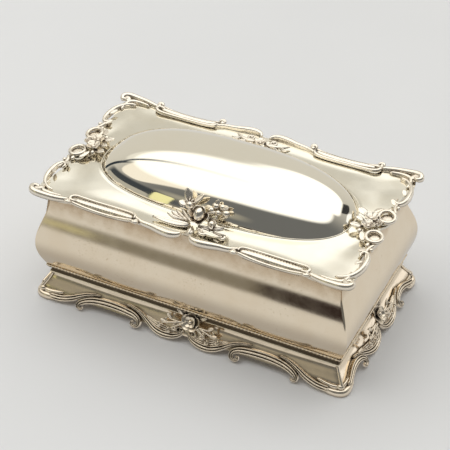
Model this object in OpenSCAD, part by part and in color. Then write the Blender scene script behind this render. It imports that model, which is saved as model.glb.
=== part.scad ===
// Silver vanity trinket box: a swelling casket on a flared, scrolled base,
// with a domed lid hinged at the back.
// Frame: origin at the centre of the footprint on the table, X along the length, front towards -Y, Z up.

/* [Case] */
// Length of the case at its mouth
case_l = 188; // [180:1:200]
// Width of the case at its mouth
case_w = 100; // [94:1:110]
// Height of the mouth above the table
mouth_z = 76; // [74:1:84]
// How far the walls swell out past the mouth
bulge = 8; // [5:0.5:10]
// Height of the widest point of the walls
bulge_z = 40; // [38:1:44]
// Thickness of the silver sheet
sheet = 1.2; // [1:0.1:1.4]

/* [Base] */
// Height of the plinth moulding's top, where the walls begin
plinth_z = 22.4; // [22:0.2:24]
// Height where the flared skirt meets the moulding
skirt_z = 16.8; // [16:0.2:17]
// How far the skirt flares out past the mouth
flare = 7; // [6:0.5:8]
// Radius of the balls that end the foot scrolls
foot_r = 2.3; // [2:0.1:2.6]

/* [Lid] */
// Half length of the dome at its foot
dome_a = 81; // [76:1:84]
// Half width of the dome at its foot
dome_b = 36.5; // [34:0.5:38]
// Height of the dome above the lid plate
dome_h = 21; // [16:1:26]
// Squareness of the dome's outline, where 2 is an ellipse
dome_n = 2.6; // [2.2:0.1:3]
// Gap between the closed lid and the case
lid_gap = 0.3; // [0.3:0.1:0.4]

/* [Hinge] */
// Length of the hinge
hinge_l = 80; // [60:1:100]
// Outer radius of the knuckles
knuckle_r = 1.8; // [1.7:0.1:1.9]
// Radius of the hinge pin
pin_r = 0.8; // [0.7:0.1:0.9]
// Radial clearance of the pin in the lid's knuckles
pin_clearance = 0.05; // [0.03:0.01:0.1]

/* [Lining] */
// Thickness of the side pads
pad_t = 3; // [2.5:0.5:3.5]
// Thickness of the floor pad
floor_pad_t = 4.4; // [4:0.2:6]

/* [Hidden] */
half_l = case_l / 2;
half_w = case_w / 2;
corner_out = 6;                          // corners of the borders stand this far outside the mouth
neck_z = mouth_z - 4;                    // the walls are straight above this height
tuck = 6.4;                              // how far the walls draw in again below their widest point
tuck_z = 19.5;                           // height at which they would be drawn in fully
seat_z = mouth_z + lid_gap;              // underside of the lid
plate_z = mouth_z + 2;                   // underside of the lid plate
plate_t = 1.4;
plate_top = plate_z + plate_t;
lid_rim_z = plate_z + 2.4;               // centre line of the lid's cast border
rim_half_h = 2.1;                        // half height of the border strips
lip_gap = 0.4;                           // side clearance of the lid's lip in the mouth
frame_in = 3.7;                          // the mouth frame's inner edge, in from the wall's outer face
hinge_y = half_w + 2.5;
hinge_z = mouth_z - 1;
knuckles = 5;
knuckle_gap = 0.2;                       // side clearance between knuckles
pad_out = 2.4;                           // outer face of the side pads, in from the wall's outer face
pad_gap = 0.3;                           // gap between a pad and its neighbour
pad_z = plinth_z + 1.2;                  // underside of the pads of the case
foot_ball_z = 2;                         // centre height of a foot ball, which is cut flat on the table
foot_out_long = 7.4;                     // the foot balls' distance out from the mouth
foot_out_short = 8.8;
ball_out_long = 8.4;                     // the same for the small balls of the lid's border
ball_out_short = 7;
curl_r = 1.7;
petal_t = 0.9;
slope = 62;                              // the foot sprays lean back this far on the skirt
thumb_slope = 38;                        // and the thumbpiece this far on the dome
far = 400;                               // larger than the object

silver = [0.83, 0.80, 0.74];
bright = [0.88, 0.86, 0.81];
aged = [0.70, 0.62, 0.46];
velvet = [0.16, 0.12, 0.30];
leather = [0.14, 0.10, 0.09];

// Cast border lines, from the middle of a side to its corner, as rows of
// [fraction of the way to the corner, distance out from the mouth, height, half width].
lid_long = [[0.018, 0.6, -0.1, 1.2], [0.04, 4.4, 0, 1.8], [0.1, 6.6, 0, 2.4], [0.18, 6.2, 0, 2.3],
    [0.27, 6, 0, 2], [0.34, 5.4, 0, 3.2], [0.45, 4.7, 0, 4.2], [0.6, 4.7, 0, 4.2], [0.71, 5.6, 0, 3.2],
    [0.78, 7, 0, 2.2], [0.86, 7.8, 0, 2.4], [0.93, 7.4, 0, 2.2], [0.98, 6.2, 0, 1.4]];
lid_short = [[0.03, 3.4, -0.1, 1.2], [0.08, 5.6, 0, 1.8], [0.2, 7, 0, 2], [0.32, 6, 0, 1.8],
    [0.42, 3.8, 0, 1.8], [0.55, 3.8, 0, 1.8], [0.66, 5, 0, 2], [0.77, 7, 0, 1.9],
    [0.87, 6.6, 0, 1.8], [0.96, 5.4, 0, 1.4]];
base_long = [[0.018, 1.4, 7.4, 1.2], [0.04, 5, 5.6, 1.8], [0.1, 8, 4.4, 2.2], [0.17, 8.4, 4.2, 2.2],
    [0.25, 7, 4.3, 2], [0.33, 6.2, 4.4, 2], [0.39, 5.2, 6, 2.4], [0.46, 4.6, 7.4, 2.6],
    [0.54, 4.4, 7.8, 2.6], [0.62, 4.8, 7.2, 2.6], [0.69, 5.8, 5.8, 2.4], [0.75, 6.8, 4.3, 2],
    [0.81, 7.2, 4.6, 2], [0.88, 8.2, 4.3, 2.2], [0.94, 8.6, 4, 2]];
base_short = [[0.03, 6.4, 7.4, 1.2], [0.08, 8.6, 5.6, 1.8], [0.17, 10, 4.6, 2], [0.27, 10, 4.4, 2],
    [0.38, 9.2, 4.4, 2], [0.48, 8.4, 4.3, 2], [0.56, 7.8, 4.4, 2], [0.65, 6, 6.2, 2], [0.74, 5.6, 6.8, 2],
    [0.84, 6, 5.6, 2], [0.93, 6.6, 4.6, 2]];
lid_long_curls = [0.31, 0.76];           // where small curls stand out from the border, as fractions
lid_short_curls = [0.35, 0.66];
base_long_curls = [0.325, 0.745];
base_short_curls = [0.55];

// ---------------------------------------------------------------- shared shapes

// Outward distance of the wall's outer face from the mouth, at height z.
function wall_out(z) = z >= neck_z ? 0
    : z >= bulge_z ? bulge * (0.5 - 0.5 * cos(180 * pow((neck_z - z) / (neck_z - bulge_z), 0.93)))
    : bulge - tuck * (1 - cos(90 * (bulge_z - z) / (bulge_z - tuck_z)));

// Outward distance of the skirt's outer face from the mouth, at height z.
function skirt_out(z) = 0.9 + (flare - 0.9) * (0.5 - 0.5 * cos(180 * (skirt_z - z) / (skirt_z - 3.5)));

// Point on a Catmull-Rom curve between b and c.
function spline(a, b, c, d, t) =
    0.5 * (2 * b + (c - a) * t + (2 * a - 5 * b + 4 * c - d) * t * t + (3 * b - a - 3 * c + d) * t * t * t);

// Smooth row of points through the given ones.
function smooth(p, steps) = let (last = len(p) - 1) concat(
    [for (i = [0 : last - 1], k = [0 : steps - 1])
        spline(p[max(i - 1, 0)], p[i], p[i + 1], p[min(i + 2, last)], k / steps)],
    [p[last]]);

function unit(v) = v / norm(v);

// Tangent of a path at point i.
function tangent(path, i) = unit(path[min(i + 1, len(path) - 1)] - path[max(i - 1, 0)]);

// Strip of oval section along a path. Each row of the path is a point, a and b are the half width and
// half height at each point, and up is the direction in which the half height is measured.
module strip(path, a, b, up = [0, 0, 1], sides = 8) {
    rows = len(path);
    points = [for (i = [0 : rows - 1])
        let (t = tangent(path, i), s = unit(cross(t, up)), n = cross(s, t))
        for (k = [0 : sides - 1])
            path[i] + a[i] * cos(360 * k / sides) * s + b[i] * sin(360 * k / sides) * n];
    walls = [for (i = [0 : rows - 2], k = [0 : sides - 1])
        let (p = i * sides + k, q = i * sides + (k + 1) % sides)
        each [[p, q, p + sides], [q, q + sides, p + sides]]];
    start = [for (k = [1 : sides - 2]) [0, k + 1, k]];
    last = (rows - 1) * sides;
    end = [for (k = [1 : sides - 2]) [last, last + k, last + k + 1]];
    polyhedron(points, concat(walls, start, end));
}

// Flat leaf or petal with two curved edges, lying along X from its root at the origin.
module leaf(length, width, thick) {
    r = (length * length + width * width) / (4 * width);
    translate([length / 2, 0, 0])
        linear_extrude(thick)
            intersection_for (s = [-1, 1])
                translate([0, s * (r - width / 2)]) circle(r, $fn = 96);
}

// Places children on one side of the case: 0 front, 1 right, 2 back, 3 left.
module on_side(side) {
    rotate([0, 0, 90 * side])
        translate([0, side % 2 == 0 ? -half_w : -half_l, 0])
            children();
}

// Straight run along one side with mitred ends. The profile's x is the distance out from the mouth.
module mitred(side) {
    run = side % 2 == 0 ? half_l : half_w;
    reach = 20;                          // the mitre planes are cut this far in and out from the mouth
    on_side(side)
        intersection() {
            translate([-far / 2, 0, 0])
                rotate([90, 0, 90])
                    linear_extrude(far)
                        mirror([1, 0, 0])
                            children();
            linear_extrude(far, center = true)
                polygon([[-run - reach, -reach], [run + reach, -reach], [run - reach, reach],
                    [-run + reach, reach]]);
        }
}

// The same section on all four sides.
module mitred_frame() {
    for (side = [0 : 3]) mitred(side) children();
}

// Box centred on the Z axis.
module slab(l, w, z0, z1) {
    translate([-l / 2, -w / 2, z0])
        cube([l, w, z1 - z0]);
}

// Point on a border line: a row of the table, the side's half length, and +1 or -1 for the half.
function border_point(row, run, half) = [half * row[0] * (run + corner_out), -row[1], row[2]];

// Whole border line of one side, from one end to the other.
function border_line(table) = concat([for (i = [len(table) - 1 : -1 : 0]) [-table[i][0], table[i][1],
    table[i][2], table[i][3]]], table);

// The two facing halves of one side's border, which meet in the notch at its middle.
module border(table, side, lift) {
    run = side % 2 == 0 ? half_l : half_w;
    rows = smooth(table, 3);
    on_side(side)
        translate([0, 0, lift])
            for (half = [-1, 1])
                strip([for (r = rows) border_point(r, run, half)], [for (r = rows) r[3]],
                    [for (r = rows) rim_half_h]);
}

// Height of the dome's outer face above the lid plate, r being 0 at its top and 1 at its foot.
function dome_rise(r) = dome_h * pow(1 - pow(r, 2.4), 1 / 2.4);

function dome_point(r, turn, inset) = [
    (dome_a - inset) * r * sign(cos(turn)) * pow(abs(cos(turn)), 2 / dome_n),
    (dome_b - inset) * r * sign(sin(turn)) * pow(abs(sin(turn)), 2 / dome_n)];

// ---------------------------------------------------------------- case

module wall(side) {
    levels = [for (i = [0 : 16]) plinth_z + (mouth_z - plinth_z) * i / 16];
    color(silver)
        mitred(side)
            polygon(concat([for (z = levels) [wall_out(z), z]],
                [for (i = [16 : -1 : 0]) [wall_out(levels[i]) - sheet, levels[i]]]));
}

module mouth_frame() {
    color(silver)
        mitred_frame()
            translate([-frame_in, neck_z + 0.3])
                square([frame_in - sheet, mouth_z - neck_z - 0.3]);
}

module bottom_plate() {
    inner = wall_out(plinth_z) - sheet - 0.1;
    color(silver)
        slab(case_l + 2 * inner, case_w + 2 * inner, plinth_z, plinth_z + 1);
}

module plinth_moulding() {
    // Fillet, hollow and lip, from the bottom up.
    color(aged)
        mitred_frame()
            polygon([[0, skirt_z], [2.6, skirt_z], [2.6, skirt_z + 1.2], [1.8, skirt_z + 1.4],
                [1.3, skirt_z + 2.4], [1.3, skirt_z + 3.6], [1.8, skirt_z + 4.6], [3.6, plinth_z - 0.6],
                [3.6, plinth_z], [0, plinth_z]]);
}

module rope_wire() {
    wire_r = 0.55;
    out = wall_out(plinth_z + wire_r) + wire_r;
    x = half_l + out;
    y = half_w + out;
    color(aged)
        translate([0, 0, plinth_z + wire_r]) {
            for (s = [-1, 1]) {
                translate([-x, s * y, 0]) rotate([0, 90, 0]) cylinder(r = wire_r, h = 2 * x, $fn = 24);
                translate([s * x, -y, 0]) rotate([-90, 0, 0]) cylinder(r = wire_r, h = 2 * y, $fn = 24);
                for (t = [-1, 1]) translate([s * x, t * y, 0]) sphere(r = wire_r, $fn = 24);
            }
        }
}

module base_board() {
    color(leather)
        slab(case_l - 0.4, case_w - 0.4, skirt_z, skirt_z + 2);
}

module skirt(side) {
    levels = [for (i = [0 : 6]) 6 + (skirt_z - 6) * i / 6];
    color(aged)
        mitred(side)
            polygon(concat([for (z = levels) [skirt_out(z), z]],
                [for (i = [6 : -1 : 0]) [skirt_out(levels[i]) - sheet, levels[i]]]));
}

// ---------------------------------------------------------------- cast borders and sprays of the base

// One side's border with the balls that end its foot scrolls, cut flat where they stand on the table.
module foot_border(side) {
    long = side % 2 == 0;
    run = (long ? half_l : half_w) + corner_out;
    color(aged) {
        border(long ? base_long : base_short, side, 0);
        on_side(side)
            for (c = long ? base_long_curls : base_short_curls, s = [-1, 1])
                translate([s * c * run, long ? -foot_out_long : -foot_out_short, 0])
                    intersection() {
                        translate([0, 0, foot_ball_z]) sphere(r = foot_r, $fn = 32);
                        cylinder(r = 2 * foot_r, h = 3 * foot_r, $fn = 32);
                    }
    }
}

// Corner scroll that wraps the foot of a corner, with the rib that runs down the corner of the skirt.
module foot_corner(sx, sy) {
    wrap = smooth([[half_l - 2, half_w + 8.6, 3.9], [half_l + 3, half_w + 9, 3.6],
        [half_l + 6.4, half_w + 7.8, 3.4], [half_l + 7.6, half_w + 4, 3.6],
        [half_l + 6.8, half_w - 0.5, 4.4]], 3);
    m = len(wrap) - 1;
    rib = [for (i = [0 : 6]) let (z = skirt_z - 0.5 - 1.5 * i, out = skirt_out(z))
        [half_l + out, half_w + out, z]];
    n = len(rib) - 1;
    color(aged)
        mirror([sx < 0 ? 1 : 0, 0, 0])
            mirror([0, sy < 0 ? 1 : 0, 0]) {
                strip(wrap, [for (i = [0 : m]) 1.3 + 1.1 * sin(180 * i / m)],
                    [for (i = [0 : m]) 1.6 + 1 * sin(180 * i / m)]);
                strip(rib, [for (i = [0 : n]) 0.7 + 0.5 * sin(180 * i / n)],
                    [for (i = [0 : n]) 0.8], [1, 1, 0.4], 6);
            }
}

// Open flower of five petals round a boss, facing up, with its middle at the origin.
module flower(petal_l, petal_w, boss_r, tilt) {
    for (turn = [18 : 72 : 306])
        rotate([0, 0, turn])
            rotate([0, -tilt, 0])
                leaf(petal_l, petal_w, petal_t);
    translate([0, 0, boss_r * 0.3]) sphere(r = boss_r, $fn = 32);
}

// Flower between two pairs of leaves, lying on the slope of the skirt.
module foot_spray(side) {
    out = side % 2 == 0 ? 0 : 1;
    color(aged)
        on_side(side)
            translate([0, -5 - out, 12.4])
                rotate([slope, 0, 0]) {
                    flower(7, 5, 2.2, 15);
                    for (h = [0, 1])
                        mirror([h, 0, 0]) {
                            translate([3, 2.4, 0]) rotate([0, 0, 14]) leaf(13, 4, petal_t);
                            translate([3, -2.4, 0]) rotate([0, 0, -14]) leaf(13, 3.4, petal_t);
                        }
                }
}

// ---------------------------------------------------------------- lining

module side_pad(side) {
    long = side % 2 == 0;
    outer = (long ? half_w : half_l) - pad_out;
    reach = long ? half_l - pad_out : half_w - pad_out - pad_t - pad_gap;
    color(velvet)
        rotate([0, 0, 90 * side])
            translate([-reach, -outer, pad_z])
                cube([2 * reach, pad_t, neck_z - 0.5 - pad_z]);
}

module pad_floor() {
    inset = pad_out + pad_t + pad_gap;
    color(velvet)
        slab(case_l - 2 * inset, case_w - 2 * inset, pad_z, pad_z + floor_pad_t);
}

module lid_pad() {
    inset = frame_in + lip_gap + 1.4;    // inside the flange's lip
    color(velvet)
        slab(case_l - 2 * inset, case_w - 2 * inset, mouth_z - 0.8, plate_z - 0.1);
}

// ---------------------------------------------------------------- hinge

// Every second knuckle from the given first one.
module knuckle_row(first, bore_r) {
    pitch = hinge_l / knuckles;
    for (i = [first : 2 : knuckles - 1])
        translate([-hinge_l / 2 + i * pitch + knuckle_gap / 2, hinge_y, hinge_z])
            rotate([0, 90, 0])
                difference() {
                    children();
                    translate([0, 0, -1]) cylinder(r = bore_r, h = pitch + 2, $fn = 48);
                }
}

module barrel() {
    cylinder(r = knuckle_r, h = hinge_l / knuckles - knuckle_gap, $fn = 48);
}

module case_hinge_leaf() {
    leaf_t = 0.6;
    leaf_z = neck_z + 0.2;
    leaf_h = hinge_z - knuckle_r - leaf_z + 0.6;   // the leaf runs a little into the barrels
    color(silver) {
        knuckle_row(0, pin_r) {
            union() {
                barrel();
                // Web that joins the barrel to the leaf. Here -X is up and Y runs out from the wall.
                translate([0, half_w - hinge_y, 0])
                    cube([knuckle_r, hinge_y - half_w, hinge_l / knuckles - knuckle_gap]);
            }
        }
        translate([-hinge_l / 2, half_w, leaf_z])
            cube([hinge_l, leaf_t, leaf_h]);
    }
}

module lid_hinge_leaf() {
    rise = plate_z - hinge_z;
    leaf_t = 0.9;
    leaf_w = 6;
    web_t = 2.4;
    color(silver) {
        knuckle_row(1, pin_r + pin_clearance) {
            union() {
                barrel();
                translate([-rise, -web_t / 2, 0])
                    cube([rise, web_t, hinge_l / knuckles - knuckle_gap]);
            }
        }
        translate([-hinge_l / 2, hinge_y - web_t / 2, plate_z - leaf_t])
            cube([hinge_l, leaf_w, leaf_t]);
    }
}

module hinge_pin() {
    color(bright)
        translate([-hinge_l / 2, hinge_y, hinge_z])
            rotate([0, 90, 0])
                cylinder(r = pin_r, h = hinge_l, $fn = 48);
}

// ---------------------------------------------------------------- lid

// Outline of the lid plate, which ends under the middle of the cast borders.
function lid_outline() =
    let (long = smooth(border_line(lid_long), 2), short = smooth(border_line(lid_short), 2),
         x = half_l + corner_out, y = half_w + corner_out)
    concat([for (r = long) [r[0] * x, -half_w - r[1] + 0.6]],
           [for (r = short) [half_l + r[1] - 0.6, r[0] * y]],
           [for (r = long) [-r[0] * x, half_w + r[1] - 0.6]],
           [for (r = short) [-half_l - r[1] + 0.6, -r[0] * y]]);

module lid_plate() {
    color(bright)
        translate([0, 0, plate_z])
            linear_extrude(plate_t)
                difference() {
                    polygon(lid_outline());
                    polygon([for (turn = [0 : 6 : 354]) dome_point(1, turn, 1.4)]);
                }
}

module lid_flange() {
    lip_out = -frame_in - lip_gap;
    color(silver)
        mitred_frame()
            polygon([[lip_out - 1, mouth_z - 2.5], [lip_out, mouth_z - 2.5], [lip_out, seat_z], [0, seat_z],
                [0, plate_z], [lip_out - 1, plate_z]]);
}

module dome() {
    turns = 60;
    rings = 8;
    foot = 0.4;                          // the dome's foot stands on the plate as a short upright edge
    // Rings run from the foot up to the top, outside first, then inside.
    outer = [for (i = [0 : rings - 1], k = [0 : turns - 1])
        let (r = cos(90 * i / rings), p = dome_point(r, 360 * k / turns, 0))
            [p[0], p[1], foot + dome_rise(r)]];
    inner = [for (i = [0 : rings - 1], k = [0 : turns - 1])
        let (r = cos(90 * i / rings), p = dome_point(r, 360 * k / turns, sheet))
            [p[0], p[1], foot + dome_rise(r) * (dome_h - sheet) / dome_h]];
    n = turns * rings;
    tops = [[0, 0, foot + dome_h], [0, 0, foot + dome_h - sheet]];
    base = [for (inset = [0, sheet], k = [0 : turns - 1])
        let (p = dome_point(1, 360 * k / turns, inset)) [p[0], p[1], 0]];
    b = 2 * n + 2;
    skin = [for (i = [0 : rings - 2], k = [0 : turns - 1])
        let (p = i * turns + k, q = i * turns + (k + 1) % turns)
        each [[p, p + turns, q], [q, p + turns, q + turns],
            [n + p, n + q, n + p + turns], [n + q, n + q + turns, n + p + turns]]];
    rim = [for (k = [0 : turns - 1])
        let (q = (k + 1) % turns, o = (rings - 1) * turns)
        each [[o + k, 2 * n, o + q], [n + o + k, n + o + q, 2 * n + 1],
            [b + k, k, b + q], [b + q, k, q], [b + turns + k, b + turns + q, n + k],
            [b + turns + q, n + q, n + k],
            [b + k, b + q, b + turns + k], [b + q, b + turns + q, b + turns + k]]];
    color(bright)
        translate([0, 0, plate_top])
            polyhedron(concat(outer, inner, tops, base), concat(skin, rim));
}

module dome_bead() {
    turns = 60;
    sides = 6;
    bead_r = 0.7;
    points = [for (k = [0 : turns - 1])
        let (p = dome_point(1, 360 * k / turns, -bead_r - 0.05), d = unit(p))
        for (j = [0 : sides - 1])
            [p[0] + bead_r * cos(360 * j / sides) * d[0], p[1] + bead_r * cos(360 * j / sides) * d[1],
                bead_r * (1 + sin(360 * j / sides))]];
    color(bright)
        translate([0, 0, plate_top])
            polyhedron(points, [for (k = [0 : turns - 1], j = [0 : sides - 1])
                let (p = k * sides + j, q = k * sides + (j + 1) % sides,
                     p2 = ((k + 1) % turns) * sides + j, q2 = ((k + 1) % turns) * sides + (j + 1) % sides)
                each [[p, q, p2], [q, q2, p2]]]);
}

// ---------------------------------------------------------------- cast borders and sprays of the lid

// One side's border with the small balls that stand out where its scrolls meet.
module lid_border(side) {
    long = side % 2 == 0;
    run = (long ? half_l : half_w) + corner_out;
    color(silver) {
        border(long ? lid_long : lid_short, side, lid_rim_z);
        on_side(side)
            for (c = long ? lid_long_curls : lid_short_curls, s = [-1, 1])
                translate([s * c * run, long ? -ball_out_long : -ball_out_short, lid_rim_z])
                    sphere(r = curl_r, $fn = 32);
    }
}

// Corner scroll of the lid, which turns up a little at the very corner.
module lid_corner(sx, sy) {
    wrap = smooth([[half_l - 1, half_w + 7, 0], [half_l + 3, half_w + 6.6, 0.2],
        [half_l + 5.6, half_w + 5.4, 0.4], [half_l + 6, half_w + 2.4, 0.2],
        [half_l + 5, half_w - 1, 0]], 3);
    m = len(wrap) - 1;
    color(silver)
        translate([0, 0, lid_rim_z])
            mirror([sx < 0 ? 1 : 0, 0, 0]) mirror([0, sy < 0 ? 1 : 0, 0])
                strip(wrap, [for (i = [0 : m]) 1.2 + 1.1 * sin(180 * i / m)], [for (i = [0 : m]) 2]);
}

// Bud wrapped in petals, with a lily and a small flower, leaning on the front of the dome as a
// thumbpiece, and leaves that lie on the lid plate below it.
module thumbpiece_spray() {
    color(bright) {
        translate([1, -dome_b - 2.6, plate_top + 5.4])
            rotate([thumb_slope, 0, 0]) {
                translate([0, 0, 1.4]) sphere(r = 3.6, $fn = 32);
                flower(7.6, 6, 2, 10);
                translate([-3, 5, 0]) rotate([0, 0, 125]) leaf(12, 4.4, petal_t);
                translate([0, 5, 0]) rotate([0, 0, 95]) leaf(9, 4, petal_t);
                translate([12, 3.4, 0]) flower(5, 3.6, 1.6, 10);
                translate([4, 2, 0]) leaf(9, 3.4, petal_t);
            }
        translate([0, -dome_b - 7, plate_top + 0.6]) {
            rotate([6, 0, 184]) leaf(22, 5, petal_t);
            rotate([-6, 0, -6]) leaf(22, 6.4, petal_t);
            rotate([0, 0, -95]) leaf(7, 5, petal_t);
            translate([1, 1, 1.4]) sphere(r = 2, $fn = 32);
        }
    }
}

// Two open loops and a flower on each short side, with a petal that reaches towards the dome's bead.
module lid_spray_short(side) {
    color(bright)
        on_side(side)
            translate([0, 0, plate_top + 1.3]) {
                for (s = [-1, 1])
                    translate([s * 8, 0.4, 0])
                        rotate_extrude($fn = 48)
                            translate([4, 0]) circle(0.9, $fn = 24);
                translate([0, 5.4, 0]) flower(6.4, 4.6, 2, 8);
            }
}

// Leaf clasp at the middle of the back border.
module lid_spray_back() {
    color(bright)
        on_side(2)
            translate([0, 0, plate_top + 0.8])
                for (h = [0, 1])
                    mirror([h, 0, 0]) {
                        translate([0.6, 3, 0]) rotate([0, 0, -14]) leaf(15, 4.4, petal_t);
                        translate([0.6, 4.6, 0]) rotate([0, 0, 12]) leaf(11, 3.6, petal_t);
                    }
}

// ---------------------------------------------------------------- assembly

wall(0);  // front_wall
wall(1);  // right_wall
wall(2);  // back_wall
wall(3);  // left_wall
mouth_frame();
bottom_plate();
plinth_moulding();
rope_wire();
base_board();
skirt(0);  // front_skirt
skirt(1);  // right_skirt
skirt(2);  // back_skirt
skirt(3);  // left_skirt
foot_border(0);  // foot_border_front
foot_border(1);  // foot_border_right
foot_border(2);  // foot_border_back
foot_border(3);  // foot_border_left
foot_corner(-1, -1);  // foot_corner_front_left
foot_corner(1, -1);  // foot_corner_front_right
foot_corner(1, 1);  // foot_corner_back_right
foot_corner(-1, 1);  // foot_corner_back_left
foot_spray(0);  // foot_spray_front
foot_spray(1);  // foot_spray_right
foot_spray(2);  // foot_spray_back
foot_spray(3);  // foot_spray_left
side_pad(0);  // pad_front
side_pad(1);  // pad_right
side_pad(2);  // pad_back
side_pad(3);  // pad_left
pad_floor();
case_hinge_leaf();
lid_hinge_leaf();
hinge_pin();
lid_plate();
lid_flange();
dome();
dome_bead();
lid_border(0);  // lid_border_front
lid_border(1);  // lid_border_right
lid_border(2);  // lid_border_back
lid_border(3);  // lid_border_left
lid_corner(-1, -1);  // lid_corner_front_left
lid_corner(1, -1);  // lid_corner_front_right
lid_corner(1, 1);  // lid_corner_back_right
lid_corner(-1, 1);  // lid_corner_back_left
thumbpiece_spray();
lid_spray_short(1);  // lid_spray_right
lid_spray_back();
lid_spray_short(3);  // lid_spray_left
lid_pad();
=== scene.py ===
from math import atan2, cos, log, pi, radians, sin, sqrt

import bmesh
import bpy
import numpy as np
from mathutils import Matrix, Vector


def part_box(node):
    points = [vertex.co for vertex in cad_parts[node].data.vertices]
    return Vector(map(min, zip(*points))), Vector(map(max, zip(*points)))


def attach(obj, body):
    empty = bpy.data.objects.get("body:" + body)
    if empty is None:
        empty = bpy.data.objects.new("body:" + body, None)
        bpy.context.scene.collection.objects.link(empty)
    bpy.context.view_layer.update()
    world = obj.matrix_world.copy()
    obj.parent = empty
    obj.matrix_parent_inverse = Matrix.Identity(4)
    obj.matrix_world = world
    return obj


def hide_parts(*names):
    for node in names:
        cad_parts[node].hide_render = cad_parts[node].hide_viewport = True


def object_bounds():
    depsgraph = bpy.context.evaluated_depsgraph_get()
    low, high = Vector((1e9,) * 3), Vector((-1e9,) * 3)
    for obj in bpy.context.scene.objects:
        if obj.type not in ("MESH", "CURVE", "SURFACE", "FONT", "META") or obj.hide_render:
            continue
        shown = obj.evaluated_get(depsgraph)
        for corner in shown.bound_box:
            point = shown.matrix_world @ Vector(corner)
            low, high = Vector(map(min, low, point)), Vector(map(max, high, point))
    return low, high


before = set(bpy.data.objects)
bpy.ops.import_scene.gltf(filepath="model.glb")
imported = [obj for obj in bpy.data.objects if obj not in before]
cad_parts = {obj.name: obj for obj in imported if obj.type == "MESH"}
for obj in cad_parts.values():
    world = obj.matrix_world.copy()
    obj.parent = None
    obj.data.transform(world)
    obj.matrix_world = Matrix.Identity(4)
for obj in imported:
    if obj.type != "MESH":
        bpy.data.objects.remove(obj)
cad_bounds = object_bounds()

# Looks of the silver vanity trinket box. Shapes are worked out in millimetres and turned into metres when a
# piece is built. A side's own coordinates are x along the side, y inwards from the mouth's outer face, z up.

MM = 0.001
SIDES = ("front", "right", "back", "left")
UP = np.array([0.0, 0.0, 1.0])


# -------- sizes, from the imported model

def node_box(name):
    """Lowest and highest corners of a CAD node, in millimetres."""
    low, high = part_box(name)
    return np.array(low) / MM, np.array(high) / MM


HALF_L, HALF_W = node_box("lid_flange")[1][:2]
PLINTH_Z, MOUTH_Z = node_box("front_wall")[0][2], node_box("front_wall")[1][2]
# Half the length of each side of the mouth, and the side's distance from the middle.
RUN, AWAY = (HALF_L, HALF_W, HALF_L, HALF_W), (HALF_W, HALF_L, HALF_W, HALF_L)
BULGE = node_box("right_wall")[1][0] - HALF_L
SKIRT_Z = node_box("front_skirt")[1][2]
PLATE_Z, PLATE_TOP = node_box("lid_plate")[0][2], node_box("lid_plate")[1][2]
DOME_A, DOME_B, DOME_TOP = node_box("dome")[1]
# Sizes of the part that no box shows. The wall starts to swell at NECK_Z, is widest at BULGE_Z and tucks in
# by TUCK at TUCK_Z. The skirt's outer face goes from SKIRT_OUT to FLARE at SKIRT_LOW_Z, and CORNER_OUT is
# how far the corners of the borders lie outside the mouth.
NECK_Z, BULGE_Z, TUCK_Z = MOUTH_Z - 4, 40, 19.5
TUCK, NECK_EASE = 6.4, 0.93
SHEET = 1.2
SKIRT_OUT, FLARE, SKIRT_LOW_Z = 0.9, 7, 3.5
CORNER_OUT = 6
# The dome: exponents of its outline and of its section, how much of that section it uses, its foot's height.
DOME_N = 2.6
DOME_PROFILE, DOME_CUT = 2.6, 0.95
DOME_FOOT = 0.4

# Border lines from the middle of a side to its corner, as the part has them: fraction of the way to the
# corner, distance out from the mouth, height, half width.
LID_LONG = [[0.018, 0.6, -0.1, 1.2], [0.04, 4.4, 0, 1.8], [0.1, 6.6, 0, 2.4], [0.18, 6.2, 0, 2.3],
            [0.27, 6, 0, 2], [0.34, 5.4, 0, 3.2], [0.45, 4.7, 0, 4.2], [0.6, 4.7, 0, 4.2],
            [0.71, 5.6, 0, 3.2], [0.78, 7, 0, 2.2], [0.86, 7.8, 0, 2.4], [0.93, 7.4, 0, 2.2],
            [0.98, 6.2, 0, 1.4]]
LID_SHORT = [[0.03, 3.4, -0.1, 1.2], [0.08, 5.6, 0, 1.8], [0.2, 7, 0, 2], [0.32, 6, 0, 1.8],
             [0.42, 3.8, 0, 1.8], [0.55, 3.8, 0, 1.8], [0.66, 5, 0, 2], [0.77, 7, 0, 1.9],
             [0.87, 6.6, 0, 1.8], [0.96, 5.4, 0, 1.4]]


def wall_out(z):
    """Distance of the wall's outer face from the mouth, at height z."""
    if z >= NECK_Z:
        return 0.0
    if z >= BULGE_Z:
        return BULGE * (0.5 - 0.5 * cos(pi * ((NECK_Z - z) / (NECK_Z - BULGE_Z)) ** NECK_EASE))
    return BULGE - TUCK * (1 - cos(pi / 2 * (BULGE_Z - z) / (BULGE_Z - TUCK_Z)))


def skirt_out(z):
    """Distance of the skirt's outer face from the mouth, at height z."""
    drop = (SKIRT_Z - z) / (SKIRT_Z - SKIRT_LOW_Z)
    return SKIRT_OUT + (FLARE - SKIRT_OUT) * (0.5 - 0.5 * cos(pi * drop))


# -------- curves and shapes

def circle(count):
    """Angles of count even points round a circle."""
    return np.linspace(0, 2 * pi, count, endpoint=False)


def unit(v):
    """The vector v, made one long."""
    v = np.array(v, float)
    return v / np.linalg.norm(v)


def distances(line):
    """How far along a line each of its points lies."""
    return np.concatenate([[0], np.cumsum(np.linalg.norm(np.diff(line[:, :3], axis=0), axis=1))])


def resampled(line, count, closed=False):
    """Even points along a line, count of them. A closed line ends short of its first point."""
    along = distances(line)
    at = np.linspace(0, along[-1], count, endpoint=not closed)
    return np.column_stack([np.interp(at, along, line[:, k]) for k in range(line.shape[1])])


PER_BEAD = 6


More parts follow.
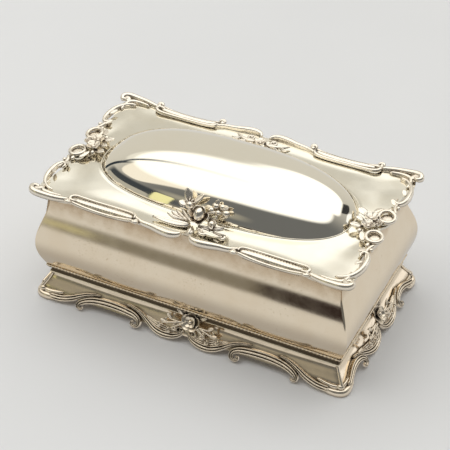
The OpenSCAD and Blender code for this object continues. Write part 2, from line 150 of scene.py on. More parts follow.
def beaded(line, pitch):
    """Points along a closed line, PER_BEAD to a bead, with whole beads as near to the pitch as they fit."""
    return resampled(line, round(distances(line)[-1] / pitch) * PER_BEAD, closed=True)


def spline(points, step=None, count=None, closed=False):
    """Even points on a smooth curve through the given ones, step apart, or count of them."""
    p = np.array(points, float)
    p = np.vstack([p[-1:], p, p[:2]]) if closed else np.vstack([p[:1], p, p[-1:]])
    fine = []
    for a, b, c, d in zip(p, p[1:], p[2:], p[3:]):
        for t in np.arange(0, 1, 1 / 16):
            fine.append(0.5 * (2 * b + (c - a) * t + (2 * a - 5 * b + 4 * c - d) * t ** 2
                               + (3 * b - a - 3 * c + d) * t ** 3))
    fine = np.array(fine + [p[-2]])
    return resampled(fine, count or max(int(distances(fine)[-1] / step), 3), closed)


def frame_along(path, up, loop=False):
    """Directions sideways and up at each point of a path."""
    ahead = np.roll(path, -1, 0) - np.roll(path, 1, 0) if loop else np.gradient(path, axis=0)
    ahead = ahead / np.linalg.norm(ahead, axis=1, keepdims=True)
    side = np.cross(ahead, up)
    side = side / np.linalg.norm(side, axis=1, keepdims=True)
    return side, np.cross(side, ahead)


def end_taper(n, at, factors):
    """Factors for the size of a path's n points, which narrow it at both ends."""
    return np.interp(np.minimum(np.arange(n), np.arange(n)[::-1]), at, factors)


def on_side(side, mirror=False):
    """Places a side's own coordinates in the frame. mirror swaps the side's two halves."""
    c, s = ((1, 0), (0, 1), (-1, 0), (0, -1))[side]

    def place(p):
        x, y = (-p[:, 0] if mirror else p[:, 0]), p[:, 1] - AWAY[side]
        return np.column_stack([c * x - s * y, s * x + c * y, p[:, 2]])
    return place


def leaning(origin, slope, then=None):
    """Places flat coordinates, x sideways, y up the slope and z out of it, on a slope given in degrees."""
    c, s = cos(radians(slope)), sin(radians(slope))

    def place(p):
        q = np.column_stack([p[:, 0], c * p[:, 1] - s * p[:, 2], s * p[:, 1] + c * p[:, 2]])
        q += np.array(origin)
        return then(q) if then else q
    return place


class Shape:
    """Closed forms that together make one piece."""

    def __init__(self, place=None):
        self.points, self.faces, self.place = [], [], place

    def rows(self, rows, loop=False):
        """A skin over rings of points. loop joins the last ring to the first, otherwise both ends close."""
        rows = np.array(rows, float)
        n, m = rows.shape[:2]
        flat = rows.reshape(-1, 3)
        if not loop:
            flat = np.vstack([flat, rows[0].mean(0), rows[-1].mean(0)])
        if self.place:
            flat = self.place(flat)
        base = len(self.points)
        self.points.extend(flat)
        for i in range(n if loop else n - 1):
            p, q = base + i * m, base + (i + 1) % n * m
            self.faces.extend((p + k, p + (k + 1) % m, q + (k + 1) % m, q + k) for k in range(m))
        if not loop:
            for ring, centre in ((base, base + n * m), (base + (n - 1) * m, base + n * m + 1)):
                self.faces.extend((ring + k, ring + (k + 1) % m, centre) for k in range(m))

    def tube(self, path, radius, up=UP, sides=10, loop=False):
        """Round bar along a path, with rounded ends unless it is a loop."""
        path = np.array(path, float)
        n = len(path)
        r = np.array(np.broadcast_to(radius, n), float)
        if not loop:
            r = r * end_taper(n, [0, 1, 2], [0.35, 0.8, 1])
        side, lift = frame_along(path, up, loop)
        turn = circle(sides)[None, :, None]
        ring = np.cos(turn) * side[:, None] + np.sin(turn) * lift[:, None]
        self.rows(path[:, None] + r[:, None, None] * ring, loop=loop)

    def rail(self, rows, section, reed=0.0, slant=0.0, step=0.5):
        """Cast moulding along rows of x, y, z, half width and half height. The section's first number runs
        across, towards the right of the path, and its second one up. reed is the depth of the cuts across
        its top, and slant is how far they lean."""
        path = spline(rows, step=step)
        n = len(path)
        size = path[:, 3:] * end_taper(n, [0, 1, 3], [0.3, 0.7, 1])[:, None]
        side, lift = frame_along(path[:, :3], UP)
        x, h = section[:, 0][None], section[:, 1][None]
        cut = np.sin(2 * pi * (np.arange(n)[:, None] * step / REED_PITCH + slant * x))
        high = h * size[:, 1:] + reed * cut * (h > 0.25) * (np.abs(x) < 0.75) * size[:, 1:]
        across = (x * size[:, :1])[..., None] * side[:, None]
        self.rows(path[:, None, :3] + across + high[..., None] * lift[:, None])

    def ball(self, centre, radii, rings=9, sides=16):
        """Ball, berry or pebble, with one radius or three."""
        radii = np.array(np.broadcast_to(radii, 3), float)
        rise = np.linspace(-0.49 * pi, 0.49 * pi, rings)[:, None]
        turn = circle(sides)[None]
        ring = np.stack([np.cos(rise) * np.cos(turn), np.cos(rise) * np.sin(turn),
                         np.sin(rise) + 0 * turn], axis=-1)
        self.rows(np.array(centre) + radii * ring)

    def blade(self, root, along, face, length, width, widest=0.5, cup=0.0, curl=0.0, rib=0.0, thick=1.3):
        """Leaf or petal. face is the side that its hollow looks to, widest the fraction of its length where
        it is widest, cup the lift of its edges, curl that of its tip, and rib the height of its midrib."""
        along = unit(along)
        face = unit(np.array(face, float) - np.dot(face, along) * along)
        side = np.cross(face, along)
        s = np.linspace(0.02, 0.98, 15)[:, None]
        t = np.linspace(-1, 1, 9)[None]
        half = width / 2 * np.sin(pi * s ** (log(0.5) / log(widest))) ** 0.7
        lift = (cup * t ** 2 + rib * np.exp(-(t / 0.22) ** 2)) * half / (width / 2) + curl * s ** 2.2
        edge = thick / 2 * np.sqrt(np.clip(1 - t ** 2, 0.05, 1)) * (1 - 0.35 * s)
        flat = np.array(root)[None, None] + along * (length * s)[..., None] + side * (half * t)[..., None]
        top = flat + face * (lift + edge)[..., None]
        under = flat + face * (lift - edge)[..., None]
        self.rows(np.concatenate([top, under[:, ::-1]], axis=1))

    def coil(self, centre, face, start, reach, turns=1.4, bar=(0.9, 0.5), hand=1, eye=0.0, end=0.3):
        """Volute that starts reach from its centre, towards start, and winds in to end times its reach. bar
        is its radius at the start and the end, and eye the radius of the knob in its middle."""
        face, u = unit(face), unit(start)
        v = np.cross(face, u) * hand
        a = np.linspace(0, 2 * pi * turns, int(20 * turns) + 2)
        r = reach * (1 + (end - 1) * a / a[-1])
        path = np.array(centre) + r[:, None] * (np.cos(a)[:, None] * u + np.sin(a)[:, None] * v)
        self.tube(path, np.linspace(*bar, len(a)), up=face)
        if eye:
            self.ball(centre, eye)

    def bloom(self, centre, rings, heart=0.0, phase=0.0):
        """Flower that faces up, with rings of (count, length, width, rise in degrees, cup, curl) petals."""
        for j, (count, length, width, rise, cup, curl) in enumerate(rings):
            e = radians(rise)
            for k in range(count):
                a = phase + 2 * pi * (k + j / 2) / count
                out = np.array([cos(a), sin(a), 0])
                self.blade(np.array(centre) + 0.3 * out, out * cos(e) + UP * sin(e),
                           UP * cos(e) - out * sin(e), length, width, 0.62, cup, curl)
        if heart:
            self.ball(np.array(centre) + UP * heart * 0.4, heart)


# -------- materials

def feed(node, inputs):
    """Links a node's inputs to sockets, or sets them to plain values."""
    for key, value in inputs.items():
        if isinstance(value, bpy.types.NodeSocket):
            node.id_data.links.new(value, node.inputs[key])
        else:
            node.inputs[key].default_value = value


def node_adder(tree):
    """A function that adds a node to a tree, with its inputs and its settings."""
    def add(kind, inputs=(), **settings):
        node = tree.nodes.new(kind)
        for key, value in settings.items():
            setattr(node, key, value)
        feed(node, dict(inputs))
        return node
    return add


def math_node(add, operation, a, b=0.0):
    return add("ShaderNodeMath", {0: a, 1: b}, operation=operation).outputs[0]


def mix_colour(add, factor, a, b):
    """a where factor is 0, b where it is 1."""
    a, b = (c if isinstance(c, bpy.types.NodeSocket) else (*c, 1) for c in (a, b))
    return add("ShaderNodeMix", {0: factor, 6: a, 7: b}, data_type="RGBA").outputs[2]


def material(name, colour, roughness, metallic=1.0):
    """Principled material and its shader, with shorthands that add a node, a noise or a ramp to it."""
    m = bpy.data.materials.new(name)
    m.use_nodes = True
    shader = m.node_tree.nodes["Principled BSDF"]
    feed(shader, {"Base Color": (*colour, 1), "Roughness": roughness, "Metallic": metallic})
    add = node_adder(m.node_tree)
    spot = add("ShaderNodeTexCoord").outputs["Object"]

    def noise(scale, detail=4.0, rough=0.55):
        return add("ShaderNodeTexNoise", {"Vector": spot, "Scale": scale, "Detail": detail,
                                          "Roughness": rough}).outputs["Fac"]

    def ramp(value, low, high, start=0.3, end=0.7):
        return add("ShaderNodeMapRange", {"Value": value, "From Min": start, "From Max": end,
                                          "To Min": low, "To Max": high}).outputs["Result"]
    return m, shader, add, noise, ramp


BROWN = (0.10, 0.065, 0.035)


def silver(name, tint, stained, rough, crevice=BROWN, patina=0.3, waves=0.0, grain=0.02, depth=1.0,
           specks=0.0):
    """Silver with soft stains, tarnish and painted shade in its crevices and other dark places, fine wear in
    its gloss and a faintly uneven surface.
    waves and grain are the heights of its broad and fine unevenness in mm."""
    m, shader, add, noise, ramp = material(name, tint, rough[0])
    cloud = ramp(noise(38, 5, 0.62), 0, patina, 0.42, 0.72)
    colour = mix_colour(add, cloud, tint, stained)
    if specks:
        # Pinpricks of tarnish, in drifts.
        drift = math_node(add, "ADD", noise(950, 1.0, 0.5), ramp(noise(30, 2), -0.10, 0.03))
        colour = mix_colour(add, ramp(drift, 0, specks, 0.68, 0.74), colour, crevice)
    # Tarnish and painted shade: the hollow attribute darkens crevices, the moulding's cove and the walls
    # under the lid towards the crevice colour.
    hollow = add("ShaderNodeAttribute", attribute_name="hollow").outputs["Fac"]
    mottle = math_node(add, "MULTIPLY", hollow, ramp(noise(150, 2), 0.8, 1.15))
    dark = ramp(mottle, 0, depth, 0.24, 0.8)
    wear = ramp(noise(130, 5, 0.6), rough[0], rough[1], 0.3, 0.75)
    bump = add("ShaderNodeBump", {"Strength": 0.35, "Distance": grain * MM, "Height": noise(900, 4, 0.6)})
    if waves:
        bump = add("ShaderNodeBump", {"Strength": 1.0, "Distance": waves * MM, "Height": noise(17, 1.5, 0.4),
                                      "Normal": bump.outputs["Normal"]})
    feed(shader, {"Base Color": mix_colour(add, dark, colour, crevice), "Normal": bump.outputs["Normal"],
                  "Roughness": math_node(add, "ADD", wear, math_node(add, "MULTIPLY", dark, 0.35))})
    return m


SILVERS = {
    "mirror_silver": dict(tint=(0.95, 0.91, 0.81), stained=(0.90, 0.82, 0.66), rough=(0.03, 0.08),
                          patina=0.2, waves=0.25, grain=0.003),
    "lid_silver": dict(tint=(0.90, 0.87, 0.775), stained=(0.83, 0.75, 0.59), rough=(0.09, 0.16), patina=0.35,
                       waves=0.3, grain=0.008),
    "wall_silver": dict(tint=(0.92, 0.81, 0.65), stained=(0.84, 0.69, 0.50), rough=(0.08, 0.13),
                        crevice=(0.50, 0.33, 0.17), patina=0.4, waves=0.4, grain=0.008, specks=0.4),
    "plain_silver": dict(tint=(0.88, 0.80, 0.66), stained=(0.76, 0.64, 0.46), rough=(0.22, 0.34), patina=0.5,
                         waves=0.2),
    "cast_silver": dict(tint=(0.97, 0.91, 0.81), stained=(0.89, 0.76, 0.58), rough=(0.19, 0.29),
                        crevice=(0.13, 0.075, 0.04), patina=0.35, depth=0.97),
    "aged_silver": dict(tint=(0.89, 0.77, 0.61), stained=(0.72, 0.58, 0.40), rough=(0.11, 0.17),
                        crevice=(0.09, 0.065, 0.035), patina=0.35, waves=0.2, grain=0.004, depth=0.8),
    "moulding_silver": dict(tint=(0.86, 0.77, 0.60), stained=(0.60, 0.48, 0.31), rough=(0.18, 0.30),
                            crevice=(0.11, 0.075, 0.045), patina=0.5, waves=0.1, grain=0.004, depth=0.9),
    "aged_cast_silver": dict(tint=(0.91, 0.81, 0.67), stained=(0.70, 0.55, 0.38), rough=(0.17, 0.28),
                             crevice=(0.05, 0.034, 0.018), patina=0.4, depth=0.98),
    "hinge_silver": dict(tint=(0.84, 0.79, 0.69), stained=(0.62, 0.52, 0.38), rough=(0.20, 0.32),
                         patina=0.6),
}


def velvet():
    m, shader, add, noise, ramp = material("velvet", (0.045, 0.028, 0.11), 0.85, 0.0)
    nap = ramp(noise(60, 4, 0.6), 0, 1, 0.35, 0.7)
    pile = add("ShaderNodeBump", {"Strength": 0.5, "Distance": 0.15 * MM, "Height": noise(2600, 2)})
    feed(shader, {"Base Color": mix_colour(add, nap, (0.03, 0.018, 0.075), (0.075, 0.048, 0.16)),
                  "Roughness": ramp(noise(240, 3), 0.7, 0.95), "Normal": pile.outputs["Normal"],
                  "Sheen Weight": 0.8, "Sheen Roughness": 0.35, "Sheen Tint": (0.62, 0.55, 0.85, 1)})
    return m


def leather():
    m, shader, add, noise, ramp = material("leather", (0.05, 0.03, 0.022), 0.55, 0.0)
    cells = add("ShaderNodeTexVoronoi", {"Scale": 700.0}).outputs["Distance"]
    grain = add("ShaderNodeBump", {"Strength": 0.5, "Distance": 0.2 * MM, "Height": cells})
    feed(shader, {"Base Color": mix_colour(add, ramp(noise(70, 4), 0, 1), (0.035, 0.02, 0.015),
                                           (0.085, 0.05, 0.034)),
                  "Roughness": ramp(noise(300, 3), 0.42, 0.66), "Normal": grain.outputs["Normal"]})
    return m


MATERIALS = {name: silver(name, **look) for name, look in SILVERS.items()}
MATERIALS.update(velvet=velvet(), leather=leather())
CAD_KEPT = {"mouth_frame": "plain_silver", "bottom_plate": "plain_silver", "lid_flange": "plain_silver",
            "base_board": "leather", "case_hinge_leaf": "hinge_silver", "lid_hinge_leaf": "hinge_silver",
            "hinge_pin": "hinge_silver"}
for node_name, slot_name in CAD_KEPT.items():
    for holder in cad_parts[node_name].material_slots:
        holder.material = MATERIALS[slot_name]


# -------- building pieces

made = {}
# No piece reaches outside the box of the part.
LIMITS = np.array([list(corner) for corner in cad_bounds]) / MM


def new_object(name, data):
    """Object in the scene that holds the data."""
    thing = bpy.data.objects.new(name, data)
    bpy.context.scene.collection.objects.link(thing)
    return thing


def build(shape, name, finish, body, node, sharp=None):
    """Turns a shape into a piece that rides on a body and stands for a CAD node. Edges sharper than sharp,
    in degrees, stay crisp."""
    mesh = bpy.data.meshes.new(name)
    mesh.from_pydata(np.clip(shape.points, *LIMITS) * MM, [], shape.faces)
    work = bmesh.new()
    work.from_mesh(mesh)
    bmesh.ops.recalc_face_normals(work, faces=work.faces)
    work.to_mesh(mesh)
    work.free()
    mesh.shade_smooth()
    if sharp:
        mesh.set_sharp_from_angle(angle=radians(sharp))
    mesh.materials.append(MATERIALS[finish])
    piece = new_object(name, mesh)
    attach(piece, body)
    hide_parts(node)
    made[name] = piece
    return piece


def fade_in(value, start, end):
    """0 up to start, 1 from end on, and smooth between them."""
    t = np.clip((value - start) / (end - start), 0, 1)
    return t * t * (3 - 2 * t)


def cast(shape, node, name=None):
    """Builds a cast piece: paler on the lid, which is polished more, than on the base."""
    finish, body = ("aged_cast_silver", "case") if node.startswith("foot") else ("cast_silver", "lid")
    build(shape, name or "cast_" + node, finish, body, node)


def coordinates(mesh):
    """Places of a mesh's vertices, in metres."""
    co = np.empty(3 * len(mesh.vertices))
    mesh.vertices.foreach_get("co", co)
    return co.reshape(-1, 3)


def store_shade_and_tarnish(piece, depth):
    """Stores how dark each vertex is painted, as tarnish and painted shade, from a function of the vertex
    places in mm.
    """
    attribute = piece.data.attributes.new("hollow", "FLOAT", "POINT")
    attribute.data.foreach_set("value", np.asarray(depth(coordinates(piece.data) / MM), float))


CORNER_R, CORNER_STEPS = 1.2, 5


def side_rows(side, profile):
    """A closed profile of (distance out, height) swept along one side, with half of a rounded corner at each
    end."""
    profile = np.array(profile, float)
    turns = np.radians(np.linspace(0, 45, CORNER_STEPS + 1))
    rows = []
    for end, turn in [(-1, t) for t in turns[::-1]] + [(1, t) for t in turns]:
        rows.append(np.column_stack([end * (RUN[side] + profile[:, 0] - CORNER_R * (1 - sin(turn))),
                                     CORNER_R * (1 - cos(turn)) - profile[:, 0], profile[:, 1]]))
    return rows


def surround(profile):
    """The same profile all the way round the case, as one ring of rows in the frame."""
    return [on_side(side)(row) for side in range(4) for row in side_rows(side, profile)]


def sheet_profile(out, levels):
    """Closed section of a sheet whose outer face is at out(z)."""
    outer = [[out(z), z] for z in levels]
    return outer + [[out(z) - SHEET, z] for z in levels[::-1]]


# -------- case: walls, moulding, rope and skirts

# Lowest edge of the skirt's sheet, and how far down from its top it bellies. Then how dark the walls are
# painted towards the mouth, as painted shade and reflection under the lid with some tarnish, and the height
# where that begins.
SKIRT_EDGE_Z, BELLY_H = 5, 12
WALL_SHADE_AND_TARNISH, WALL_SHADE_AND_TARNISH_Z = 0.52, 54


def skirt_rows(side, swell=0.9):
    """Rows of a skirt that swells and draws in along its length, as its scalloped border does."""
    whole = side_rows(side, sheet_profile(skirt_out, list(np.linspace(SKIRT_EDGE_Z, SKIRT_Z, 34))))
    ends, rows = len(whole) // 2, []
    for t in np.linspace(-1, 1, 61):
        row = whole[ends - 1] * (1 - t) / 2 + whole[ends] * (1 + t) / 2
        belly = np.sin(np.pi * np.clip((SKIRT_Z - row[:, 2]) / BELLY_H, 0, 1))
        row[:, 1] -= swell * (cos(2 * pi * t) - 1) / 2 * belly
        rows.append(row)
    return whole[:ends - 1] + rows + whole[ends + 1:]


for i, side_name in enumerate(SIDES):
    wall = Shape(on_side(i))
    wall.rows(side_rows(i, sheet_profile(wall_out, list(np.linspace(PLINTH_Z, MOUTH_Z, 44)))))
    piece = build(wall, "sheet_wall_" + side_name, "wall_silver", "case", side_name + "_wall", sharp=50)
    # Painted shade under the lid, with some tarnish: the walls darken from that height to just under the
    # mouth.
    store_shade_and_tarnish(piece, lambda p: WALL_SHADE_AND_TARNISH * fade_in(p[:, 2], WALL_SHADE_AND_TARNISH_Z, MOUTH_Z - 3))
    skirt = Shape(on_side(i))
    skirt.rows(skirt_rows(i))
    build(skirt, "ogee_skirt_" + side_name, "aged_silver", "case", side_name + "_skirt", sharp=50)

# Section of the moulding, as distances out from the mouth and heights: fillet, hollow and lip.
fillet = [[2.3, SKIRT_Z], [2.7, SKIRT_Z + 0.3], [2.7, SKIRT_Z + 0.8], [2.3, SKIRT_Z + 1.15]]
hollow = [[1.5 + 1.1 * (1 - sin(pi * t)) ** 1.4, SKIRT_Z + 1.3 + 3 * t] for t in np.linspace(0.12, 0.88, 9)]
lip = [[3.1, PLINTH_Z - 1.1], [3.5, PLINTH_Z - 0.95], [3.65, PLINTH_Z - 0.6], [3.5, PLINTH_Z - 0.2],
       [3.1, PLINTH_Z]]
moulding = Shape()
moulding.rows(surround([[0, SKIRT_Z]] + fillet + hollow + lip + [[0, PLINTH_Z]]), loop=True)
build(moulding, "moulding", "moulding_silver", "case", "plinth_moulding", sharp=40)

ROPE_R, ROPE_PITCH = 0.55, 2.3
rope_out = wall_out(PLINTH_Z + ROPE_R) + ROPE_R
corner_line = np.array([row[0] for row in surround([[rope_out, PLINTH_Z + ROPE_R]])])
rope_path = beaded(np.vstack([corner_line, corner_line[:1]]), ROPE_PITCH)
rope_side, rope_lift = frame_along(rope_path, UP, loop=True)
turn = circle(10)
rope_rows = []
for i, (spot, out, lift) in enumerate(zip(rope_path, rope_side, rope_lift)):
    r = ROPE_R * (0.86 + 0.24 * np.cos(2 * (turn - pi * i / PER_BEAD)))
    rope_rows.append(spot + (r * np.cos(turn))[:, None] * out + (r * np.sin(turn))[:, None] * lift)
rope = Shape()
rope.rows(rope_rows, loop=True)
build(rope, "twisted_rope", "aged_silver", "case", "rope_wire")


# -------- cast borders

# Sections of the cast mouldings, as (across, up) in halves of their size, from the left edge over the top.
# The roll is one round rail, and the twin is three rails side by side.
ROLL = [(-1, -0.9), (-1, 0), (-0.88, 0.5), (-0.6, 0.85), (-0.2, 1), (0.2, 1), (0.6, 0.85), (0.88, 0.5),
        (1, 0), (1, -0.9), (0, -1)]
TWIN = [(-1, -0.8), (-1, 0.3), (-0.92, 0.75), (-0.76, 0.95), (-0.6, 0.75), (-0.5, 0.2), (-0.38, 0.2),
        (-0.24, 0.7), (0, 0.98), (0.24, 0.8), (0.4, 0.25), (0.5, 0.2), (0.62, 0.7), (0.8, 0.8), (0.96, 0.4),
        (1, -0.2), (0.94, -0.9), (0, -1)]
REED_PITCH = 1.8


def eased(section, per_edge=2):
    """The section with its corners eased and more points."""
    return spline([(a, b, 0) for a, b in section], count=per_edge * len(section), closed=True)[:, :2]


ROLL, TWIN = eased(ROLL, 1), eased(TWIN)


def border_path(table, side, step):
    """Middle line of half a side's border, from a table of fractions of the way to the corner."""
    return spline([[row[0] * (RUN[side] + CORNER_OUT), -row[1], 0] for row in table], step=step)


def outwards(rows):
    """Rows written with the distance out from the mouth, as rows with y inwards."""
    return [[row[0], -row[1], *row[2:]] for row in rows]


# Mouldings of the lid's border, one half of a side. Rows are the distance from the middle of the side, the
# distance out from the mouth, the height above the lid plate, the half width and the half height.
LID_LOBE = [[2.6, 3.4, 1.2, 0.8, 1.0], [4.6, 6.3, 1.2, 1.4, 1.6], [9, 7.5, 1.1, 1.8, 2.0],
            [15, 6.8, 1.0, 1.8, 2.0], [21, 5.6, 0.8, 1.5, 1.8], [27, 4.9, 0.7, 1.3, 1.6],
            [31, 3.6, 0.9, 1.1, 1.4], [35, 1.6, 1.1, 0.9, 1.2]]
LID_ARCH = [[34, 4.2, 0.8, 1.2, 1.3], [38, 3.5, 0.4, 2.0, 1.8], [46, 3.1, 0.0, 2.3, 2.0],
            [56, 3.2, -0.1, 2.3, 2.0], [66, 3.6, 0.2, 2.1, 1.9], [73, 3.9, 0.8, 1.3, 1.4]]
LID_ARCH_INSIDE = [[33.2, 4.6, 1.7, 0.7, 0.8], [33.4, 2.4, 1.8, 0.8, 0.9], [35.4, 0.9, 1.6, 0.9, 0.9],
                   [40, 0.2, 1.3, 0.9, 0.9], [50, 0.0, 1.2, 0.9, 0.9], [60, 0.1, 1.2, 0.9, 0.9],
                   [69, 0.1, 1.4, 0.9, 0.9], [73.6, 0.6, 1.7, 1.0, 1.0], [75.9, 2.5, 1.9, 1.1, 1.0],
                   [75.4, 4.8, 1.8, 1.0, 1.0], [72.4, 5.0, 1.5, 0.8, 0.9], [70.8, 3.6, 1.5, 0.6, 0.7]]
LID_ARCH_EDGE = [[33, 6.0, 1.3, 0.7, 0.9], [38, 6.0, 0.2, 0.9, 1.0], [46, 6.2, -0.6, 0.9, 1.0],
                 [55, 6.3, -0.8, 0.9, 1.0], [64, 6.3, -0.4, 0.9, 1.0], [70, 6.4, 0.4, 0.9, 1.0],
                 [74.5, 6.6, 1.4, 0.8, 0.9]]
LID_END = [[76, 4.8, 1.1, 0.9, 1.2], [80, 6.0, 1.1, 1.4, 1.6], [86, 7.2, 1.3, 1.6, 1.8],
           [92, 7.7, 1.6, 1.7, 1.9], [97, 7.8, 2.1, 1.8, 1.9], [100.4, 6.7, 2.4, 1.8, 1.9],
           [101.7, 4.2, 2.3, 1.6, 1.7], [100.6, 2.4, 2.2, 1.3, 1.3], [98.6, 2.6, 2.3, 1.0, 1.0],
           [98.2, 4.0, 2.5, 0.8, 0.9]]
LID_CURLS = [[31, 6.9, 1.6, 1], [75.8, 7.1, 1.6, -1]]
LID_SIDE_SCROLL = [[29.6, 2.4, 1.6, 0.6, 0.8], [27.4, 1.7, 1.8, 0.8, 0.9], [25.2, 3.0, 1.7, 1.0, 1.1],
                   [25.7, 5.2, 1.5, 1.2, 1.3], [29.5, 6.8, 1.2, 1.5, 1.7], [35, 7.1, 1.0, 1.7, 1.9],
                   [41, 6.3, 0.9, 1.6, 1.8], [46, 4.0, 0.9, 1.4, 1.6], [49.4, 0.4, 0.9, 1.1, 1.4],
                   [50.8, -4.0, 0.9, 0.9, 1.1]]
LID_SIDE_LINK = [[16.0, 6.2, 1.3, 0.8, 1.0], [19, 4.4, 1.0, 1.2, 1.4], [23, 3.5, 0.9, 1.2, 1.4],
                 [27, 4.6, 0.8, 0.9, 1.2], [30, 5.6, 0.8, 0.7, 0.9]]


def hook(shape, x, out, z, hand):
    """Small curl that stands up from the edge, like the tip of a tendril."""
    turn = np.linspace(0, 1.5 * pi, 16)
    reach = np.linspace(1.9, 0.9, 16)
    path = [[x + hand * r * cos(a), -out - r * sin(a) * 0.8, z + 0.7 * sin(a)]
            for a, r in zip(turn, reach)]
    shape.tube([[x + hand * 1.8, -out + 3, z - 0.7]] + path, np.linspace(1.15, 0.75, 17))
    shape.ball([x, -out, z + 0.5], 1.0)


# Studded ring in the middle of a short side: its middle, as distances along the side and out, and its radii.
RING, RING_R = (10.2, 2.9), (5.2, 4.6)
ARCH_BEADS = np.arange(37, 72, 1.3)


def lid_ring(shape):
    """Open ring, studded on its inner half, with a thin floor that the crevice pass paints dark as shade and
    tarnish, and a bud beside it.
    """
    x, out = RING
    turns = circle(40)
    shape.tube([[x + RING_R[0] * cos(a), -out + RING_R[1] * sin(a), 2.1 + 0.5 * cos(a - 1.2)]
                for a in turns], 1.25, loop=True)
    for a in np.arange(0.2, 2.9, 0.24):
        shape.ball([x + RING_R[0] * cos(a), -out + (RING_R[1] - 0.1) * sin(a), 3.3], 0.42, 6, 8)
    # Flat floor inside the ring: a dark piece for the painted shade there, with some tarnish.
    shape.ball([x, -out, 0.7], [4.4, 3.8, 0.5])
    shape.ball([17.6, -2.0, 1.4], [2.0, 1.3, 1.2])


def lid_border(side):
    """Cast border of one side of the lid: lobe, arch and end scroll, or the short side's scroll and ring."""
    shape = Shape()
    for mirror in (False, True):
        lower = on_side(side, mirror)
        shape.place = lambda p, lower=lower: lower(p + [0, 0, PLATE_TOP])
        if side % 2 == 0:
            shape.rail(outwards(LID_ARCH), ROLL, 0.12, 0.9)
            for rows in (LID_LOBE, LID_ARCH_INSIDE, LID_ARCH_EDGE, LID_END):
                shape.rail(outwards(rows), ROLL)
            for x, out, z, hand in LID_CURLS:
                hook(shape, x, out, z, hand)
                shape.ball([x, -out + 0.9, z - 0.6], 1.7)
            for x in ARCH_BEADS:
                drop = 1.5 + 0.9 * sin(pi * (x - 36) / 36)
                shape.ball([x, -5.5, -drop], [0.42, 0.8, 0.5], 5, 6)
        else:
            shape.rail(outwards(LID_SIDE_SCROLL), ROLL)
            shape.rail(outwards(LID_SIDE_LINK), ROLL)
            lid_ring(shape)
            # Two small leaves and a bud on the scroll.
            shape.blade([22.6, -3.2, 1.4], [1, 0.9, 0.2], UP, 5.4, 3, 0.5, 0.6, 0.7, 0.4)
            shape.blade([33, -5.2, 2.0], [1, 0.5, 0.1], UP, 6, 2.6, 0.5, 0.6, 0.5, 0.4)
            shape.ball([21.4, -5.6, 1.3], 1.35)
    cast(shape, "lid_border_" + SIDES[side])


# Mouldings of the base's border, one half of a side, drawn on a plane that leans against the skirt: distance
# from the middle, distance up the slope, height off it, half width and half height.
FOOT_SLOPE, FOOT_LINE_Z = 58, 2.3
FOOT_LINE_OUT = {"long": 8.2, "short": 9.2}
FOOT_LOBE = [[1.8, 6.6, 1.0, 0.6, 0.8], [2.4, 4.6, 1.1, 1.0, 1.1], [4.6, 2.5, 1.1, 1.5, 1.4],
             [9, 0.9, 1.0, 2.0, 1.6], [15, 0.5, 1.0, 2.1, 1.7], [20.5, 1.8, 0.9, 1.9, 1.6],
             [25.5, 4.6, 0.7, 1.6, 1.4], [30, 7.4, 0.6, 1.3, 1.2], [35, 9.4, 0.4, 1.0, 0.9],
             [42, 10.6, 0.1, 0.7, 0.6]]
FOOT_ARCH = [[33.4, 1.6, 1.7, 0.5, 0.6], [35.3, 1.7, 1.9, 0.7, 0.8], [35.6, 0.2, 1.9, 0.9, 0.9],
             [33.4, -0.7, 1.8, 1.1, 1.1], [31.3, 0.7, 1.7, 1.3, 1.2], [31.6, 3.4, 1.5, 1.6, 1.4],
             [35, 5.5, 1.2, 2.0, 1.6], [41, 6.5, 1.0, 2.3, 1.7], [49, 7.0, 0.9, 2.4, 1.7],
             [57, 6.8, 0.9, 2.4, 1.7], [64, 5.8, 1.0, 2.2, 1.7], [69.6, 3.8, 1.3, 1.9, 1.6],
             [72.8, 1.4, 1.6, 1.5, 1.3], [72.8, -0.6, 1.8, 1.2, 1.1], [70.8, -1.0, 1.9, 0.9, 0.9],
             [69.8, 0.4, 1.9, 0.6, 0.7]]
FOOT_END = [[60, 10.2, 0.2, 0.7, 0.7], [67, 8.6, 0.4, 1.2, 1.1], [73, 6.0, 0.7, 1.6, 1.4],
            [79, 3.0, 0.9, 1.9, 1.6], [86, 1.0, 1.0, 2.0, 1.7], [94, 0.6, 1.1, 1.9, 1.7]]
FOOT_SHORT_LOBE = [[1.8, 6.4, 1.0, 0.6, 0.8], [2.4, 4.2, 1.1, 1.0, 1.2], [4.8, 1.9, 1.1, 1.6, 1.5],
                   [9, 0.5, 1.0, 2.0, 1.7], [14.5, 0.3, 1.0, 2.2, 1.8], [20, 1.8, 0.9, 1.9, 1.6],
                   [25, 4.6, 0.7, 1.5, 1.3], [30, 7.4, 0.5, 1.1, 1.0], [35, 9, 0.2, 0.7, 0.7]]
FOOT_SHORT_ARCH = [[29.4, 1.4, 1.9, 0.6, 0.7], [31, 0.6, 2.0, 0.8, 0.8], [30.2, -0.6, 1.9, 1.0, 1.0],
                   [28.2, -0.2, 1.8, 1.2, 1.1], [27.6, 2.2, 1.6, 1.5, 1.3], [29.8, 4.8, 1.3, 1.8, 1.5],
                   [35, 6.2, 1.0, 2.1, 1.6], [41, 5.6, 0.9, 2.1, 1.6], [47, 3.4, 0.9, 2.0, 1.6],
                   [52, 1.6, 1.0, 1.9, 1.6]]


